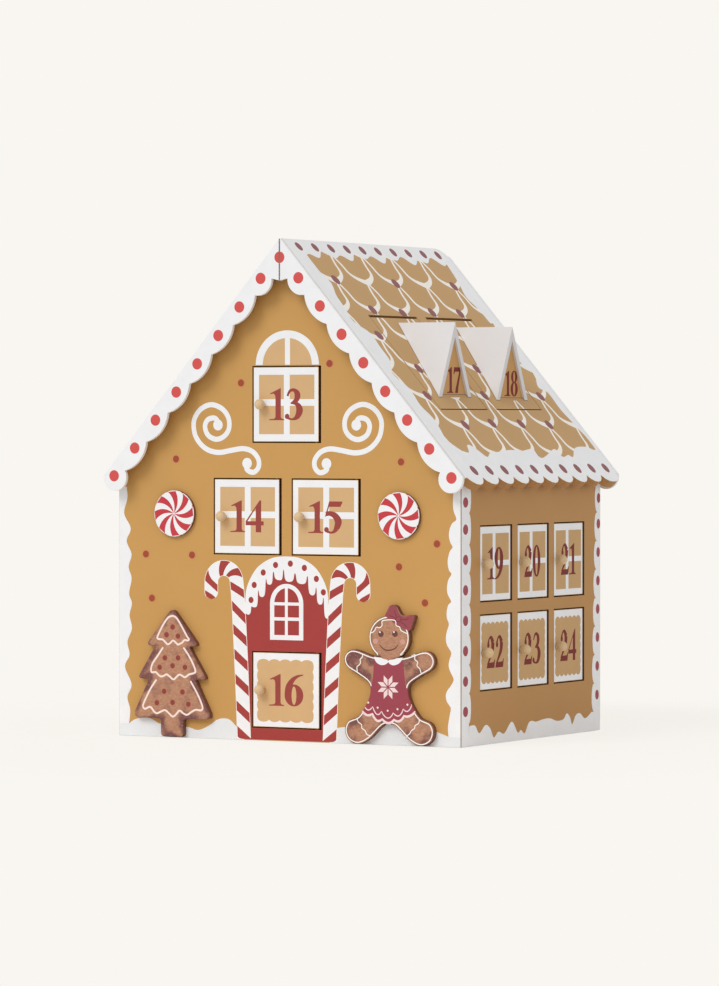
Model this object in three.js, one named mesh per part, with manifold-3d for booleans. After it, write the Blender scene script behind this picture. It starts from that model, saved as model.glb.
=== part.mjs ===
// A wooden advent calendar in the shape of a gingerbread house.
// Twenty doors in the four walls and four hatches in the roof close twenty-four compartments.
// Millimetres, +Z up. The origin is on the surface that the house stands on, below its middle.
// Gable wall 13 to 16 faces -Y, and wall 19 to 24 faces +X.

import * as THREE from "three";
import { mergeVertices } from "three/addons/utils/BufferGeometryUtils.js";
import Module from "manifold-3d";

const wasm = await Module();
wasm.setup();

const degree = Math.PI / 180;

// House
const wallWidth = 320; // outside, from side wall to side wall
const wallDepth = 252.6; // outside, from the front face to the back edges
const wallHeight = 213.81; // of the side walls, under the roof
const roofPitch = 49 * degree;
const frontOverhang = 11.8; // front wall to the barge boards' face
const rearOverhang = 20.3;
const wallSheet = 5;
const roofSheet = 7;
const bargeSheet = 3;
const rackSheet = 3;
const seam = 0.3; // glue line between boards
const sideWallCorner = 9; // radius of the side walls' rear bottom corners

// Eave scallops
const roofSlope = 264.2; // ridge to the scallops' tips, along the slope
const eavePitch = 26.8;
const eaveDepth = 7.4;
const eaveRearLobe = 33.4; // length of the last scallop, at the rear
const roofCorner = 13; // radius of the roof's rear corners

// Barge boards, measured along the roof edge from the apex and square to it
const bargeFirstCusp = 29.5;
const bargeFirstDepth = 16; // of the first cusp, which stands lower than the others
const bargeSecondCusp = 50;
const bargeLobes = 6; // whole lobes below the first short one
const bargeCuspDepth = 13;
const bargeLobeDepth = 5;
const bargeEndRadius = 11;
const bargeEndCentre = 9.5; // depth of the end circle's centre
const bargeEndStep = 10.4; // last cusp to that centre
const bargeEndInset = 3.2; // end circle to the eave's tips
const bargeApexDrop = 34.5; // ridge to the boards' lower edge at the seam
const rearApexRadius = 10;

// Doors
const latchGap = 0.8;
const doorGap = 1;
const hingeGap = 2.5;
const doorRecess = 0.5;
const pinInset = 3; // hinge pin to the leaf's edge
const pinRadius = 1;
const pinSeat = 2; // length of a pin inside its hole
const pinPlay = 0.3;

// Doors in the gable walls: one at the top, two side by side, and the house door at the bottom
const gableWidth = 64.3;
const gableHeight = 62.8;
const houseDoorWidth = 65.2;
const topSillRise = 29; // from the side walls' top
const pairSillDrop = 62.5; // from the side walls' top
const pairGap = 9.3; // between the openings of the pair
const houseDoorSill = 10.1;
const gableKnobInset = 8.8;

// Doors in the side walls: two rows of three
const sideWidth = 56.7;
const sideHeight = 62;
const sideColumnGap = 9.5;
const sideRowGap = 9.7;
const sideHeadroom = 37; // upper row to the top of the wall
const sideShift = 1.4; // middle of the wall to the middle column, towards the rear
const sideKnobInset = 5;

// Knobs
const knobRadius = 4.3;
const knobCentre = 5.2; // above the leaf
const knobFoot = 2.4;
const pegRadius = 1.6;
const pegLength = 3;

// Roof hatches
const hatchWidth = 83;
const hatchLength = 102.4;
const hatchTop = 82; // ridge to the opening, along the slope
const hatchSpacing = 98.6;
const hatchShift = 4; // middle of the walls to the middle between the hatches
const hatchGap = 1;

// Dormers on the hatches
const dormerWidth = 57;
const dormerRidge = 53.5; // level length of the ridge
const dormerTips = [5, 7.9]; // the lid's upper edge to the ridge's end, at the front and the rear
const dormerSheet = 5;
const dormerRecess = 2; // front of the block behind the roof plates' edges

// Racks
const cellDepth = 63.7; // behind the side doors
const gableCellDepth = 65;
const shelfDrop = 2; // shelf below the sill that it serves
const atticHalf = 40; // half the width of the attic's middle cells
const cheekGap = 3.5; // house door's opening to the cheeks beside it

// Ornaments on the front wall
const cookieSheet = 5;
const candyRadius = 19;
const candySheet = 3;
const candyInset = 54.9; // its middle to the wall's edge
const candyDrop = 29.3; // from the side walls' top
const treeInset = 54;
const treeFoot = 0.8;
const girlInset = 62.3;
const girlFoot = 0.4;
const headHeight = 86.3; // the girl's feet to the middle of her head
const headAcross = 18.6; // half of the head's width
const headHigh = 17.6;

// Worked out from the sizes above
const roofLength = frontOverhang + wallDepth + rearOverhang;
const frontY = frontOverhang - roofLength / 2;
const backY = roofLength / 2 - rearOverhang;
const middleY = (frontY + backY) / 2;
const slopeTangent = Math.tan(roofPitch);
const roofUnderApex = wallHeight + (slopeTangent * wallWidth) / 2;
const ridgeHeight = roofUnderApex + (roofSheet + seam) / Math.cos(roofPitch);
const innerHalf = wallWidth / 2 - wallSheet - seam;
const innerFront = frontY + wallSheet + seam;
const innerBack = backY - wallSheet - seam;
const panelHalf = roofLength / 2 - bargeSheet - seam;
const pinHole = pinRadius + pinPlay;
const treeX = treeInset - wallWidth / 2;
const girlX = wallWidth / 2 - girlInset;
const upright = Math.PI / 2;
const rearOnRight = { right: 1, left: -1 }; // +1 where the rear is on the viewer's right

const materials = {
  paint: new THREE.MeshStandardMaterial({ color: 0xc99b5c, roughness: 0.6 }),
  icing: new THREE.MeshStandardMaterial({ color: 0xf1f0f0, roughness: 0.6 }),
  board: new THREE.MeshStandardMaterial({ color: 0xb98f63, roughness: 0.85 }),
  beech: new THREE.MeshStandardMaterial({ color: 0xc8b287, roughness: 0.5 }),
  cookie: new THREE.MeshStandardMaterial({ color: 0xa9744f, roughness: 0.7 }),
  candy: new THREE.MeshStandardMaterial({ color: 0xc8323c, roughness: 0.4 }),
};

// A closed geometry as a solid.
function solid(geometry) {
  const bare = geometry.clone();
  bare.deleteAttribute("normal");
  bare.deleteAttribute("uv");
  const merged = mergeVertices(bare, 1e-4);
  return new wasm.Manifold(
    new wasm.Mesh({
      numProp: 3,
      vertProperties: merged.attributes.position.array,
      triVerts: new Uint32Array(merged.index.array),
    }),
  );
}

// A board cut to a shape, its outer face at height top of its own frame.
function board(shape, thickness, top = 0, curveSegments = 4) {
  const options = { depth: thickness, bevelEnabled: false, curveSegments };
  const geometry = new THREE.ExtrudeGeometry(shape, options);
  return solid(geometry.translate(0, 0, top - thickness));
}

function block([x0, x1], [y0, y1], [z0, z1]) {
  const geometry = new THREE.BoxGeometry(x1 - x0, y1 - y0, z1 - z0);
  return solid(geometry.translate((x0 + x1) / 2, (y0 + y1) / 2, (z0 + z1) / 2));
}

// A round rod between two points on a line along X or Y.
function rod(axis, radius, from, to, across, height) {
  const geometry = new THREE.CylinderGeometry(radius, radius, to - from, 8);
  const middle = (from + to) / 2;
  if (axis === "x") {
    geometry.rotateZ(upright).translate(middle, across, height);
  } else {
    geometry.translate(across, middle, height);
  }
  return solid(geometry);
}

function joined(solids) {
  return solids.reduce((whole, part) => whole.add(part));
}

// Adds one named piece to a group.
function addPiece(group, name, shape, material) {
  const { numProp, vertProperties, triVerts } = shape.getMesh();
  const positions = new Float32Array(triVerts.length * 3);
  triVerts.forEach((vertex, i) => {
    positions.set(vertProperties.subarray(vertex * numProp, vertex * numProp + 3), i * 3);
  });
  const geometry = new THREE.BufferGeometry();
  geometry.setAttribute("position", new THREE.BufferAttribute(positions, 3));
  geometry.computeVertexNormals();
  const mesh = new THREE.Mesh(geometry, material);
  mesh.name = name;
  group.add(mesh);
}

// The frame of one side of the house: x to the viewer's right, y up the board, z outwards.
function sideFrame(turn, tilt, x, y, z) {
  const frame = new THREE.Group();
  frame.rotation.set(tilt, 0, turn, "ZYX");
  frame.position.set(x, y, z);
  house.add(frame);
  return frame;
}

const house = new THREE.Group();
const frames = {
  front: sideFrame(0, upright, 0, frontY, 0),
  right: sideFrame(upright, upright, wallWidth / 2, middleY, 0),
  back: sideFrame(Math.PI, upright, 0, backY, 0),
  left: sideFrame(-upright, upright, -wallWidth / 2, middleY, 0),
  roof_right: sideFrame(upright, roofPitch, 0, 0, ridgeHeight),
  roof_left: sideFrame(-upright, roofPitch, 0, 0, ridgeHeight),
};

// The edges and the hinge of one door leaf, worked out from its opening
function doorPlan(opening) {
  const left = opening.x - opening.width / 2 + latchGap;
  const right = opening.x + opening.width / 2 - hingeGap;
  const bottom = opening.sill + doorGap;
  const top = opening.sill + opening.height - doorGap;
  return {
    left,
    right,
    bottom,
    top,
    hinge: right - pinInset,
    pinHeight: -(wallSheet + doorRecess) / 2,
  };
}

function cutAway(shape, cuts) {
  return cuts.reduce((left, cut) => left.subtract(cut), shape);
}

// A wall with its door openings and the holes for the doors' hinge pins.
function wallBoard(outline, openings) {
  const through = [-2 * wallSheet, wallSheet];
  const reach = doorGap + pinSeat + pinPlay;
  const cuts = openings.flatMap((opening) => {
    const { x, sill, width, height } = opening;
    const { bottom, top, hinge, pinHeight } = doorPlan(opening);
    return [
      block([x - width / 2, x + width / 2], [sill, sill + height], through),
      rod("y", pinHole, bottom - reach, top + reach, hinge, pinHeight),
    ];
  });
  return cutAway(board(outline, wallSheet), cuts);
}

// A turned knob with a peg, its foot on the leaf at height 0.
function knobShape() {
  const profile = [
    [0, -pegLength],
    [pegRadius, -pegLength],
    [pegRadius, seam],
    [knobFoot, seam],
  ];
  const neck = -50 * degree; // where the ball meets the foot, seen from its centre
  const steps = 5;
  for (let i = 0; i < steps; i += 1) {
    const angle = neck + ((upright - neck) * i) / steps;
    const height = knobCentre + knobRadius * Math.sin(angle);
    profile.push([knobRadius * Math.cos(angle), height]);
  }
  profile.push([0, knobCentre + knobRadius]);
  const points = profile.map(([x, y]) => new THREE.Vector2(x, y));
  return new THREE.LatheGeometry(points, 10).rotateX(upright);
}

// A door leaf with its two hinge pins, and its knob.
function addDoor(frame, number, opening, knobInset) {
  const { left, right, bottom, top, hinge, pinHeight } = doorPlan(opening);
  const reach = doorGap + pinSeat;
  const face = -doorRecess;
  const leaf = block([left, right], [bottom, top], [-wallSheet, face]);
  const pin = rod("y", pinRadius, bottom - reach, top + reach, hinge, pinHeight);
  const holeRadius = pegRadius + seam;
  const holeDepth = pegLength + seam;
  const knobPlace = [left + knobInset, (bottom + top) / 2, face];
  const pegHole = new THREE.CylinderGeometry(holeRadius, holeRadius, 2 * holeDepth, 8);
  pegHole.rotateX(upright).translate(...knobPlace);
  addPiece(frame, `door_${number}`, leaf.add(pin).subtract(solid(pegHole)), materials.paint);
  const knob = knobShape().translate(...knobPlace);
  addPiece(frame, `knob_${number}`, solid(knob), materials.beech);
}

// Gable walls, and their openings from top to bottom and from left to right
function gableOpening(x, sill, width = gableWidth) {
  return { x, sill, width, height: gableHeight };
}

const pairSill = wallHeight - pairSillDrop;
const pairCentre = (gableWidth + pairGap) / 2;
const gableOpenings = [
  gableOpening(0, wallHeight + topSillRise),
  gableOpening(-pairCentre, pairSill),
  gableOpening(pairCentre, pairSill),
  gableOpening(0, houseDoorSill, houseDoorWidth),
];

function gableOutline(half) {
  const shoulder = roofUnderApex - slopeTangent * half;
  const shape = new THREE.Shape();
  shape.moveTo(-half, 0);
  shape.lineTo(half, 0);
  shape.lineTo(half, shoulder);
  shape.lineTo(0, roofUnderApex);
  shape.lineTo(-half, shoulder);
  shape.closePath();
  return shape;
}

const frontWall = wallBoard(gableOutline(wallWidth / 2), gableOpenings);
addPiece(frames.front, "front_wall", frontWall, materials.paint);
const backWall = wallBoard(gableOutline(innerHalf), gableOpenings);
addPiece(frames.back, "back_wall", backWall, materials.paint);

// Side walls, between the roof and the base, behind the front wall
const upperSill = wallHeight - sideHeadroom - sideHeight;
const lowerSill = upperSill - sideRowGap - sideHeight;
const columnPitch = sideWidth + sideColumnGap;

function sideOpenings(rear) {
  const columns = [-1, 0, 1].map((i) => i * columnPitch + rear * sideShift);
  return [upperSill, lowerSill].flatMap((sill) =>
    columns.map((x) => ({ x, sill, width: sideWidth, height: sideHeight })),
  );
}

function sideOutline(rear) {
  const frontEdge = -rear * (wallDepth / 2 - wallSheet - seam);
  const rearEdge = (rear * wallDepth) / 2;
  const shape = new THREE.Shape();
  shape.moveTo(frontEdge, wallHeight);
  shape.lineTo(frontEdge, 0);
  shape.lineTo(rearEdge - rear * sideWallCorner, 0);
  shape.quadraticCurveTo(rearEdge, 0, rearEdge, sideWallCorner);
  shape.lineTo(rearEdge, wallHeight);
  shape.closePath();
  return shape;
}

for (const [side, rear] of Object.entries(rearOnRight)) {
  const wall = wallBoard(sideOutline(rear), sideOpenings(rear));
  addPiece(frames[side], `${side}_wall`, wall, materials.paint);
}

// Doors, numbered from left to right and from top to bottom on each side
gableOpenings.forEach((opening, i) => {
  addDoor(frames.back, 1 + i, opening, gableKnobInset);
  addDoor(frames.front, 13 + i, opening, gableKnobInset);
});
for (const [side, rear] of Object.entries(rearOnRight)) {
  const first = rear > 0 ? 19 : 7;
  sideOpenings(rear).forEach((opening, i) => addDoor(frames[side], first + i, opening, sideKnobInset));
}

// Base
const base = block([-innerHalf, innerHalf], [innerFront, innerBack], [0, wallSheet]);
addPiece(house, "base_panel", base, materials.board);

// The same points on the other side of the Y axis, in the same turning direction
function mirrored(points) {
  return points.map(({ x, y }) => new THREE.Vector2(-x, y)).reverse();
}

// The points after a of a round arc from a to b, which stands out on the right of its way.
function arcPoints(a, b, height, steps) {
  const chord = b.clone().sub(a);
  const half = chord.length() / 2;
  const radius = (half * half + height * height) / (2 * height);
  const right = new THREE.Vector2(chord.y, -chord.x).normalize();
  const centre = a.clone().add(b).multiplyScalar(0.5).addScaledVector(right, height - radius);
  const spread = 2 * Math.asin(half / radius);
  const points = [];
  for (let i = 1; i <= steps; i += 1) {
    points.push(a.clone().rotateAround(centre, (spread * i) / steps));
  }
  return points;
}

// Roof panels, in frames whose x runs along the ridge and whose y runs up the slope to it
const roundCorner = roofCorner * (1 - Math.SQRT1_2); // height of a quarter turn's arc

function roofOutline(rear) {
  const valley = eaveDepth - roofSlope;
  const lastValley = panelHalf - eaveRearLobe;
  const lobes = Math.ceil((lastValley + panelHalf) / eavePitch);
  const eave = [];
  for (let i = lobes; i >= 0; i -= 1) {
    const a = new THREE.Vector2(lastValley - i * eavePitch, valley);
    const b = new THREE.Vector2(a.x + eavePitch, valley);
    const arc = arcPoints(a, b, eaveDepth, 6);
    // The last scallop runs straight on from its tip to the corner.
    eave.push(a, ...(i > 0 ? arc : arc.slice(0, 3)));
  }
  const kept = eave.filter((point) => point.x > -panelHalf + seam);
  const front = [new THREE.Vector2(-panelHalf, 0), new THREE.Vector2(-panelHalf, kept[0].y)];
  const eaveCorner = new THREE.Vector2(panelHalf - roofCorner, -roofSlope);
  const eaveEnd = new THREE.Vector2(panelHalf, roofCorner - roofSlope);
  const ridgeEnd = new THREE.Vector2(panelHalf, -roofCorner);
  const ridgeCorner = new THREE.Vector2(panelHalf - roofCorner, 0);
  const rearEdge = [
    eaveCorner,
    ...arcPoints(eaveCorner, eaveEnd, roundCorner, 3),
    ridgeEnd,
    ...arcPoints(ridgeEnd, ridgeCorner, roundCorner, 3),
  ];
  const points = [...front, ...kept, ...rearEdge];
  return rear > 0 ? points : mirrored(points);
}

// One hatch, place 0 at the front and place 1 at the rear
function hatchPlan(rear, place) {
  const x = rear * (middleY + hatchShift + (place - 0.5) * hatchSpacing);
  const top = -hatchTop - hingeGap;
  return {
    x,
    left: x - hatchWidth / 2 + hatchGap,
    right: x + hatchWidth / 2 - hatchGap,
    top,
    bottom: -hatchTop - hatchLength + hatchGap,
    hinge: top - pinInset,
    pinHeight: -roofSheet / 2,
  };
}

// Turns a solid drawn upright, its y up and its z level and outwards, into a roof frame.
function intoSlope(shape, x = 0, y = 0) {
  const turn = new THREE.Matrix4().makeRotationX(upright - roofPitch);
  return shape.transform(new THREE.Matrix4().makeTranslation(x, y, 0).multiply(turn).toArray());
}

function roofPanel(rear) {
  const far = 2 * roofSlope;
  const beyondRidge = block([-far, far], [-far, far], [-far, seam / 2]);
  const through = [-2 * roofSheet, roofSheet];
  const reach = hatchGap + pinSeat + pinPlay;
  const cuts = [0, 1].flatMap((place) => {
    const { x, left, right, hinge, pinHeight } = hatchPlan(rear, place);
    const across = [x - hatchWidth / 2, x + hatchWidth / 2];
    return [
      block(across, [-hatchTop - hatchLength, -hatchTop], through),
      rod("x", pinHole, left - reach, right + reach, hinge, pinHeight),
    ];
  });
  const panel = board(new THREE.Shape(roofOutline(rear)), roofSheet);
  return cutAway(panel, [intoSlope(beyondRidge), ...cuts]);
}

function triangle(apex, foot, spread) {
  const half = (apex - foot) * spread;
  return new THREE.Shape([
    new THREE.Vector2(0, apex),
    new THREE.Vector2(-half, foot),
    new THREE.Vector2(half, foot),
  ]);
}

// A dormer whose level ridge starts at a point of the slope
function dormer(x, y) {
  const sink = 1; // how far it goes into the lid
  const height = dormerRidge * slopeTangent;
  const spread = dormerWidth / 2 / height;
  const innerApex = -dormerSheet / Math.sin(Math.atan(spread));
  const roof = board(triangle(0, -height - sink, spread), dormerRidge, dormerRidge);
  const recess = triangle(innerApex, -height - 2 * sink, spread);
  const hollowed = roof.subtract(board(recess, dormerRecess + sink, dormerRidge + sink));
  const far = 2 * roofSlope;
  const below = block([-far, far], [-2 * far, far], [-far, -sink]);
  return intoSlope(hollowed, x, y).subtract(below);
}

// A lid with its two hinge pins, under a small dormer that serves as its handle
function hatchShape(rear, place) {
  const { x, left, right, top, bottom, hinge, pinHeight } = hatchPlan(rear, place);
  const reach = hatchGap + pinSeat;
  const lid = block([left, right], [bottom, top], [-roofSheet, 0]);
  const pin = rod("x", pinRadius, left - reach, right + reach, hinge, pinHeight);
  return joined([lid, pin, dormer(x, top - dormerTips[place])]);
}

for (const [side, rear] of Object.entries(rearOnRight)) {
  const frame = frames[`roof_${side}`];
  addPiece(frame, `roof_panel_${side}`, roofPanel(rear), materials.icing);
  // Seen from its own side, each roof has the lower number on the left.
  const firstNumber = rear > 0 ? 17 : 5;
  for (const place of [0, 1]) {
    const number = firstNumber + (rear > 0 ? place : 1 - place);
    addPiece(frame, `hatch_${number}`, hatchShape(rear, place), materials.paint);
  }
}

// Barge boards. A point lies so far along the roof's edge from the apex, and so deep below it.
const bargeEnd = roofSlope - bargeEndInset - bargeEndRadius;
const bargeLastCusp = bargeEnd - bargeEndStep;
const bargePitch = (bargeLastCusp - bargeSecondCusp) / bargeLobes;

function onBarge({ x: along, y: deep }) {
  return new THREE.Vector2(
    along * Math.cos(roofPitch) - deep * Math.sin(roofPitch),
    ridgeHeight - along * Math.sin(roofPitch) - deep * Math.cos(roofPitch),
  );
}

function circlePoint(centre, radius, angle) {
  return new THREE.Vector2(radius * Math.cos(angle), radius * Math.sin(angle)).add(centre);
}

// The round end and the scallops of the right-hand board, back up to the apex
function bargeEdge() {
  const centre = new THREE.Vector2(bargeEnd, bargeEndCentre);
  const onEdge = Math.sqrt(bargeEndRadius ** 2 - bargeEndCentre ** 2);
  const from = Math.atan2(-bargeEndCentre, onEdge);
  const to = Math.atan2(bargeCuspDepth - bargeEndCentre, -bargeEndStep);
  const edge = [];
  const steps = 8;
  for (let i = 0; i <= steps; i += 1) {
    const angle = from + ((to - from) * i) / steps;
    edge.push(circlePoint(centre, bargeEndRadius, angle));
  }
  for (let i = bargeLobes - 1; i >= 0; i -= 1) {
    const cusp = new THREE.Vector2(bargeSecondCusp + i * bargePitch, bargeCuspDepth);
    edge.push(...arcPoints(edge.at(-1), cusp, bargeLobeDepth, 5));
  }
  const first = new THREE.Vector2(bargeFirstCusp, bargeFirstDepth);
  edge.push(...arcPoints(edge.at(-1), first, bargeLobeDepth, 4));
  return edge.map(onBarge);
}

function bargeHalf() {
  const x = seam / 2;
  return [
    new THREE.Vector2(x, ridgeHeight - bargeApexDrop),
    new THREE.Vector2(x, ridgeHeight - x * slopeTangent),
    ...bargeEdge(),
  ].reverse();
}

const frontRight = board(new THREE.Shape(bargeHalf()), bargeSheet, frontOverhang);
addPiece(frames.front, "barge_board_front_right", frontRight, materials.icing);
const frontLeft = board(new THREE.Shape(mirrored(bargeHalf())), bargeSheet, frontOverhang);
addPiece(frames.front, "barge_board_front_left", frontLeft, materials.icing);

// The rear board is one piece with a round apex.
function rearBarge() {
  const centre = new THREE.Vector2(0, ridgeHeight - rearApexRadius / Math.cos(roofPitch));
  const apex = [];
  const steps = 4;
  for (let i = 1; i <= steps; i += 1) {
    apex.push(circlePoint(centre, rearApexRadius, upright - (roofPitch * i) / steps));
  }
  const half = [...apex, ...bargeEdge()];
  const top = new THREE.Vector2(0, centre.y + rearApexRadius);
  const notch = new THREE.Vector2(0, ridgeHeight - bargeApexDrop);
  return new THREE.Shape([top, ...half, notch, ...mirrored(half)].reverse());
}

addPiece(frames.back, "barge_board_rear", board(rearBarge(), bargeSheet, rearOverhang), materials.icing);

// Racks, which divide the inside into cells. They fill the room between walls, base and roof.
const room = [innerFront, innerBack];
const roomAcross = [-innerHalf, innerHalf];
const rackFoot = wallSheet + seam;
const atticFloor = pairSill + gableHeight + shelfDrop;

function sheetAt(centre) {
  return [centre - rackSheet / 2, centre + rackSheet / 2];
}

function shelf(top) {
  return [top - rackSheet, top];
}

// The three cells by three shelves behind each side wall
function sideBank(side) {
  const backFace = innerHalf - cellDepth;
  const across = [side * (backFace - rackSheet), side * innerHalf].sort((a, b) => a - b);
  const back = sheetAt(side * (backFace - rackSheet / 2));
  const height = [rackFoot, atticFloor - seam];
  const middleColumn = middleY + sideShift;
  const dividers = [-1.5, -0.5, 0.5, 1.5].map((i) => sheetAt(middleColumn + i * columnPitch));
  const length = [dividers[0][0], dividers[3][1]];
  const tops = [lowerSill - shelfDrop, upperSill - shelfDrop];
  tops.push(upperSill + sideHeight + shelfDrop + rackSheet);
  return joined([
    block(back, room, height),
    ...dividers.map((divider) => block(across, divider, height)),
    ...tops.map((top) => block(across, length, shelf(top))),
  ]);
}

// The cells behind one gable wall. inward is +1 where the room lies towards +Y.
function gableBank(wall, inward) {
  const deep = wall + inward * gableCellDepth;
  const end = deep + inward * rackSheet;
  const depth = [Math.min(wall, end), Math.max(wall, end)];
  const back = [Math.min(deep, end), Math.max(deep, end)];
  const half = innerHalf - cellDepth - rackSheet / 2;
  const top = atticFloor - seam;
  const middleShelf = shelf(pairSill - shelfDrop);
  const cheek = houseDoorWidth / 2 + cheekGap + rackSheet / 2;
  return joined([
    block([-half, half], back, [middleShelf[0], top]),
    block([-half, half], depth, middleShelf),
    block(sheetAt(0), depth, [middleShelf[0], top]),
    block([-cheek, cheek], back, [rackFoot, middleShelf[1]]),
    block(sheetAt(-cheek), depth, [rackFoot, middleShelf[1]]),
    block(sheetAt(cheek), depth, [rackFoot, middleShelf[1]]),
  ]);
}

const standing = new THREE.Matrix4().makeRotationX(upright).setPosition(0, innerFront, 0);
const insideOfHouse = board(gableOutline(innerHalf), innerBack - innerFront).transform(standing.toArray());
const gableBanks = [gableBank(innerFront, 1), gableBank(innerBack, -1)];
const lowerRack = joined([sideBank(1), sideBank(-1), ...gableBanks]);
addPiece(house, "lower_rack", lowerRack.intersect(insideOfHouse), materials.board);

const atticHeight = [atticFloor, roofUnderApex];
const atticRack = joined([
  block(roomAcross, room, [atticFloor, atticFloor + rackSheet]),
  block(sheetAt(-atticHalf - rackSheet / 2), room, atticHeight),
  block(sheetAt(atticHalf + rackSheet / 2), room, atticHeight),
  block(roomAcross, sheetAt(middleY + hatchShift), atticHeight),
]);
addPiece(house, "attic_rack", atticRack.intersect(insideOfHouse), materials.board);

// Peppermint discs
for (const [side, sign] of Object.entries(rearOnRight)) {
  const disc = new THREE.CylinderGeometry(candyRadius, candyRadius, candySheet, 32);
  const across = sign * (wallWidth / 2 - candyInset);
  disc.rotateX(upright).translate(across, wallHeight - candyDrop, seam + candySheet / 2);
  addPiece(frames.front, `candy_disc_${side}`, solid(disc), materials.candy);
}

// Cookies. Each is a list of corners, given as half width, height and radius, mirrored.
function bothSides(half) {
  const other = half.filter(([x]) => x > 0).map(([x, y, round]) => [-x, y, round]);
  return [...half, ...other.reverse()];
}

// A closed outline whose corners are rounded off
function roundedOutline(corners, x0, y0) {
  const ring = corners.map(([x, y]) => new THREE.Vector2(x0 + x, y0 + y));
  const shape = new THREE.Shape();
  ring.forEach((corner, i) => {
    const round = corners[i][2];
    const before = ring.at(i - 1).clone().sub(corner).setLength(round).add(corner);
    const after = ring[(i + 1) % ring.length].clone().sub(corner).setLength(round).add(corner);
    if (i === 0) {
      shape.moveTo(before.x, before.y);
    } else {
      shape.lineTo(before.x, before.y);
    }
    shape.quadraticCurveTo(corner.x, corner.y, after.x, after.y);
  });
  shape.closePath();
  return shape;
}

const treeHalf = [
  [10.7, 0, 3],
  [10.7, 14.8, 3],
  [38.4, 15.2, 7],
  [22.1, 47.3, 2],
  [33.4, 47.3, 4.5],
  [16.1, 74.5, 2],
  [25.4, 74.8, 5],
  [0, 106.1, 5],
];
const treeTop = seam + cookieSheet;
const tree = board(roundedOutline(bothSides(treeHalf), treeX, treeFoot), cookieSheet, treeTop, 3);
addPiece(frames.front, "cookie_tree", tree, materials.cookie);

// The gingerbread girl: body and limbs on a smooth line, a round head and a bow
const bodyHalf = [
  [0, 16.5],
  [6.4, 15.1],
  [18.3, 4.3],
  [28.5, 0],
  [37.4, 3.2],
  [40.7, 11],
  [37.7, 18.3],
  [29.3, 21.8],
  [24.7, 26.5],
  [19.5, 35],
  [17.2, 43],
  [19.2, 49.8],
  [29.3, 56.4],
  [38.6, 61.8],
  [41.4, 68.4],
  [38.2, 74.2],
  [30.5, 75.8],
  [11.9, 70.5],
];
const headCentre = new THREE.Vector2(girlX, girlFoot + headHeight);
const bowCorners = [
  [-4.5, 103.5, 1],
  [0.5, 112.8, 2.5],
  [6.3, 112.6, 2.5],
  [11, 104, 3],
  [24.2, 105, 3],
  [19.5, 91.2, 3],
  [8, 95, 1],
];

function girl() {
  const ring = bothSides(bodyHalf);
  const line = [...ring, ring[0]].map(([x, y]) => new THREE.Vector2(girlX + x, girlFoot + y));
  const body = new THREE.Shape(new THREE.SplineCurve(line).getPoints(2 * line.length).slice(1));
  const headSteps = 24;
  const head = Array.from({ length: headSteps }, (_, i) => {
    const round = circlePoint(new THREE.Vector2(), 1, (2 * Math.PI * i) / headSteps);
    return round.multiply(new THREE.Vector2(headAcross, headHigh)).add(headCentre);
  });
  const bow = roundedOutline(bowCorners, girlX, girlFoot);
  const top = seam + cookieSheet;
  return joined([
    board(body, cookieSheet, top),
    board(new THREE.Shape(head), cookieSheet, top),
    board(bow, cookieSheet, top, 3),
  ]);
}

addPiece(frames.front, "cookie_girl", girl(), materials.cookie);

export default house;
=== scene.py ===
# %% [markdown]
# # A gingerbread-house advent calendar
# The real thing is cut by laser from 3 to 7 mm board, painted, printed flat with screen
# inks, and glued up. Twenty small doors and four roof hatches close its compartments.
# The boards come from the CAD frame. This lesson gives them their paint, prints and
# bare edges, and makes the pieces whose print runs over their whole face.

import math

import bpy
from mathutils import Matrix, Vector
from mathutils.geometry import delaunay_2d_cdt


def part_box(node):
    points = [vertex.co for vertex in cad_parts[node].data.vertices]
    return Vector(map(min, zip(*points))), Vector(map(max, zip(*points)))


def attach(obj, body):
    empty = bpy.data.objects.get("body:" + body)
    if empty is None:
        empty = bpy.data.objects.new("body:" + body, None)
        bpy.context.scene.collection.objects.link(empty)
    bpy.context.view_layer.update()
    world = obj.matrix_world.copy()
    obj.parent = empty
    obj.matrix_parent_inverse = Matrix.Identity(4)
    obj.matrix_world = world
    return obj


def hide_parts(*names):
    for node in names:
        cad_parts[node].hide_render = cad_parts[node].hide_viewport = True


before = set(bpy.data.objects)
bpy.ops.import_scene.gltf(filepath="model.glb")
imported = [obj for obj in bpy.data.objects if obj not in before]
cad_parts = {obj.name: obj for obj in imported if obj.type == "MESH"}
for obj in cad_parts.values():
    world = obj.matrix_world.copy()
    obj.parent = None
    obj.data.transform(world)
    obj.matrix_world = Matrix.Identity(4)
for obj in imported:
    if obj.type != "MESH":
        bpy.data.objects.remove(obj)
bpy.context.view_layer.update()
MM = 0.001

# %% [markdown]
# ## The six faces of the house
# Every print is drawn flat, in millimetres, as its maker drew it: x to the viewer's
# right, y up the board and z out of it. One matrix for each face stands the drawing up.
# A matrix is simpler than turning objects, and leaves every object's origin in place.

# %% Faces
ROOF_PITCH = math.radians(49)
WALL_HEIGHT = 213.81
ROOF_SHEET = 7.3  # with the glue line under it
FRONT_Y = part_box("front_wall")[0][1] / MM
BACK_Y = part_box("back_wall")[1][1] / MM
HALF_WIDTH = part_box("front_wall")[1][0] / MM
SIDE_FRONT, ROOF_FRONT = 125.3, 132.55  # front wall to the zero of the drawings on the sides
SIDE_Y, ROOF_Y = FRONT_Y + SIDE_FRONT, FRONT_Y + ROOF_FRONT
SIDE_REAR = BACK_Y - SIDE_Y
COS, SIN = math.cos(ROOF_PITCH), math.sin(ROOF_PITCH)
RIDGE = WALL_HEIGHT + HALF_WIDTH * SIN / COS + ROOF_SHEET / COS


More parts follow.
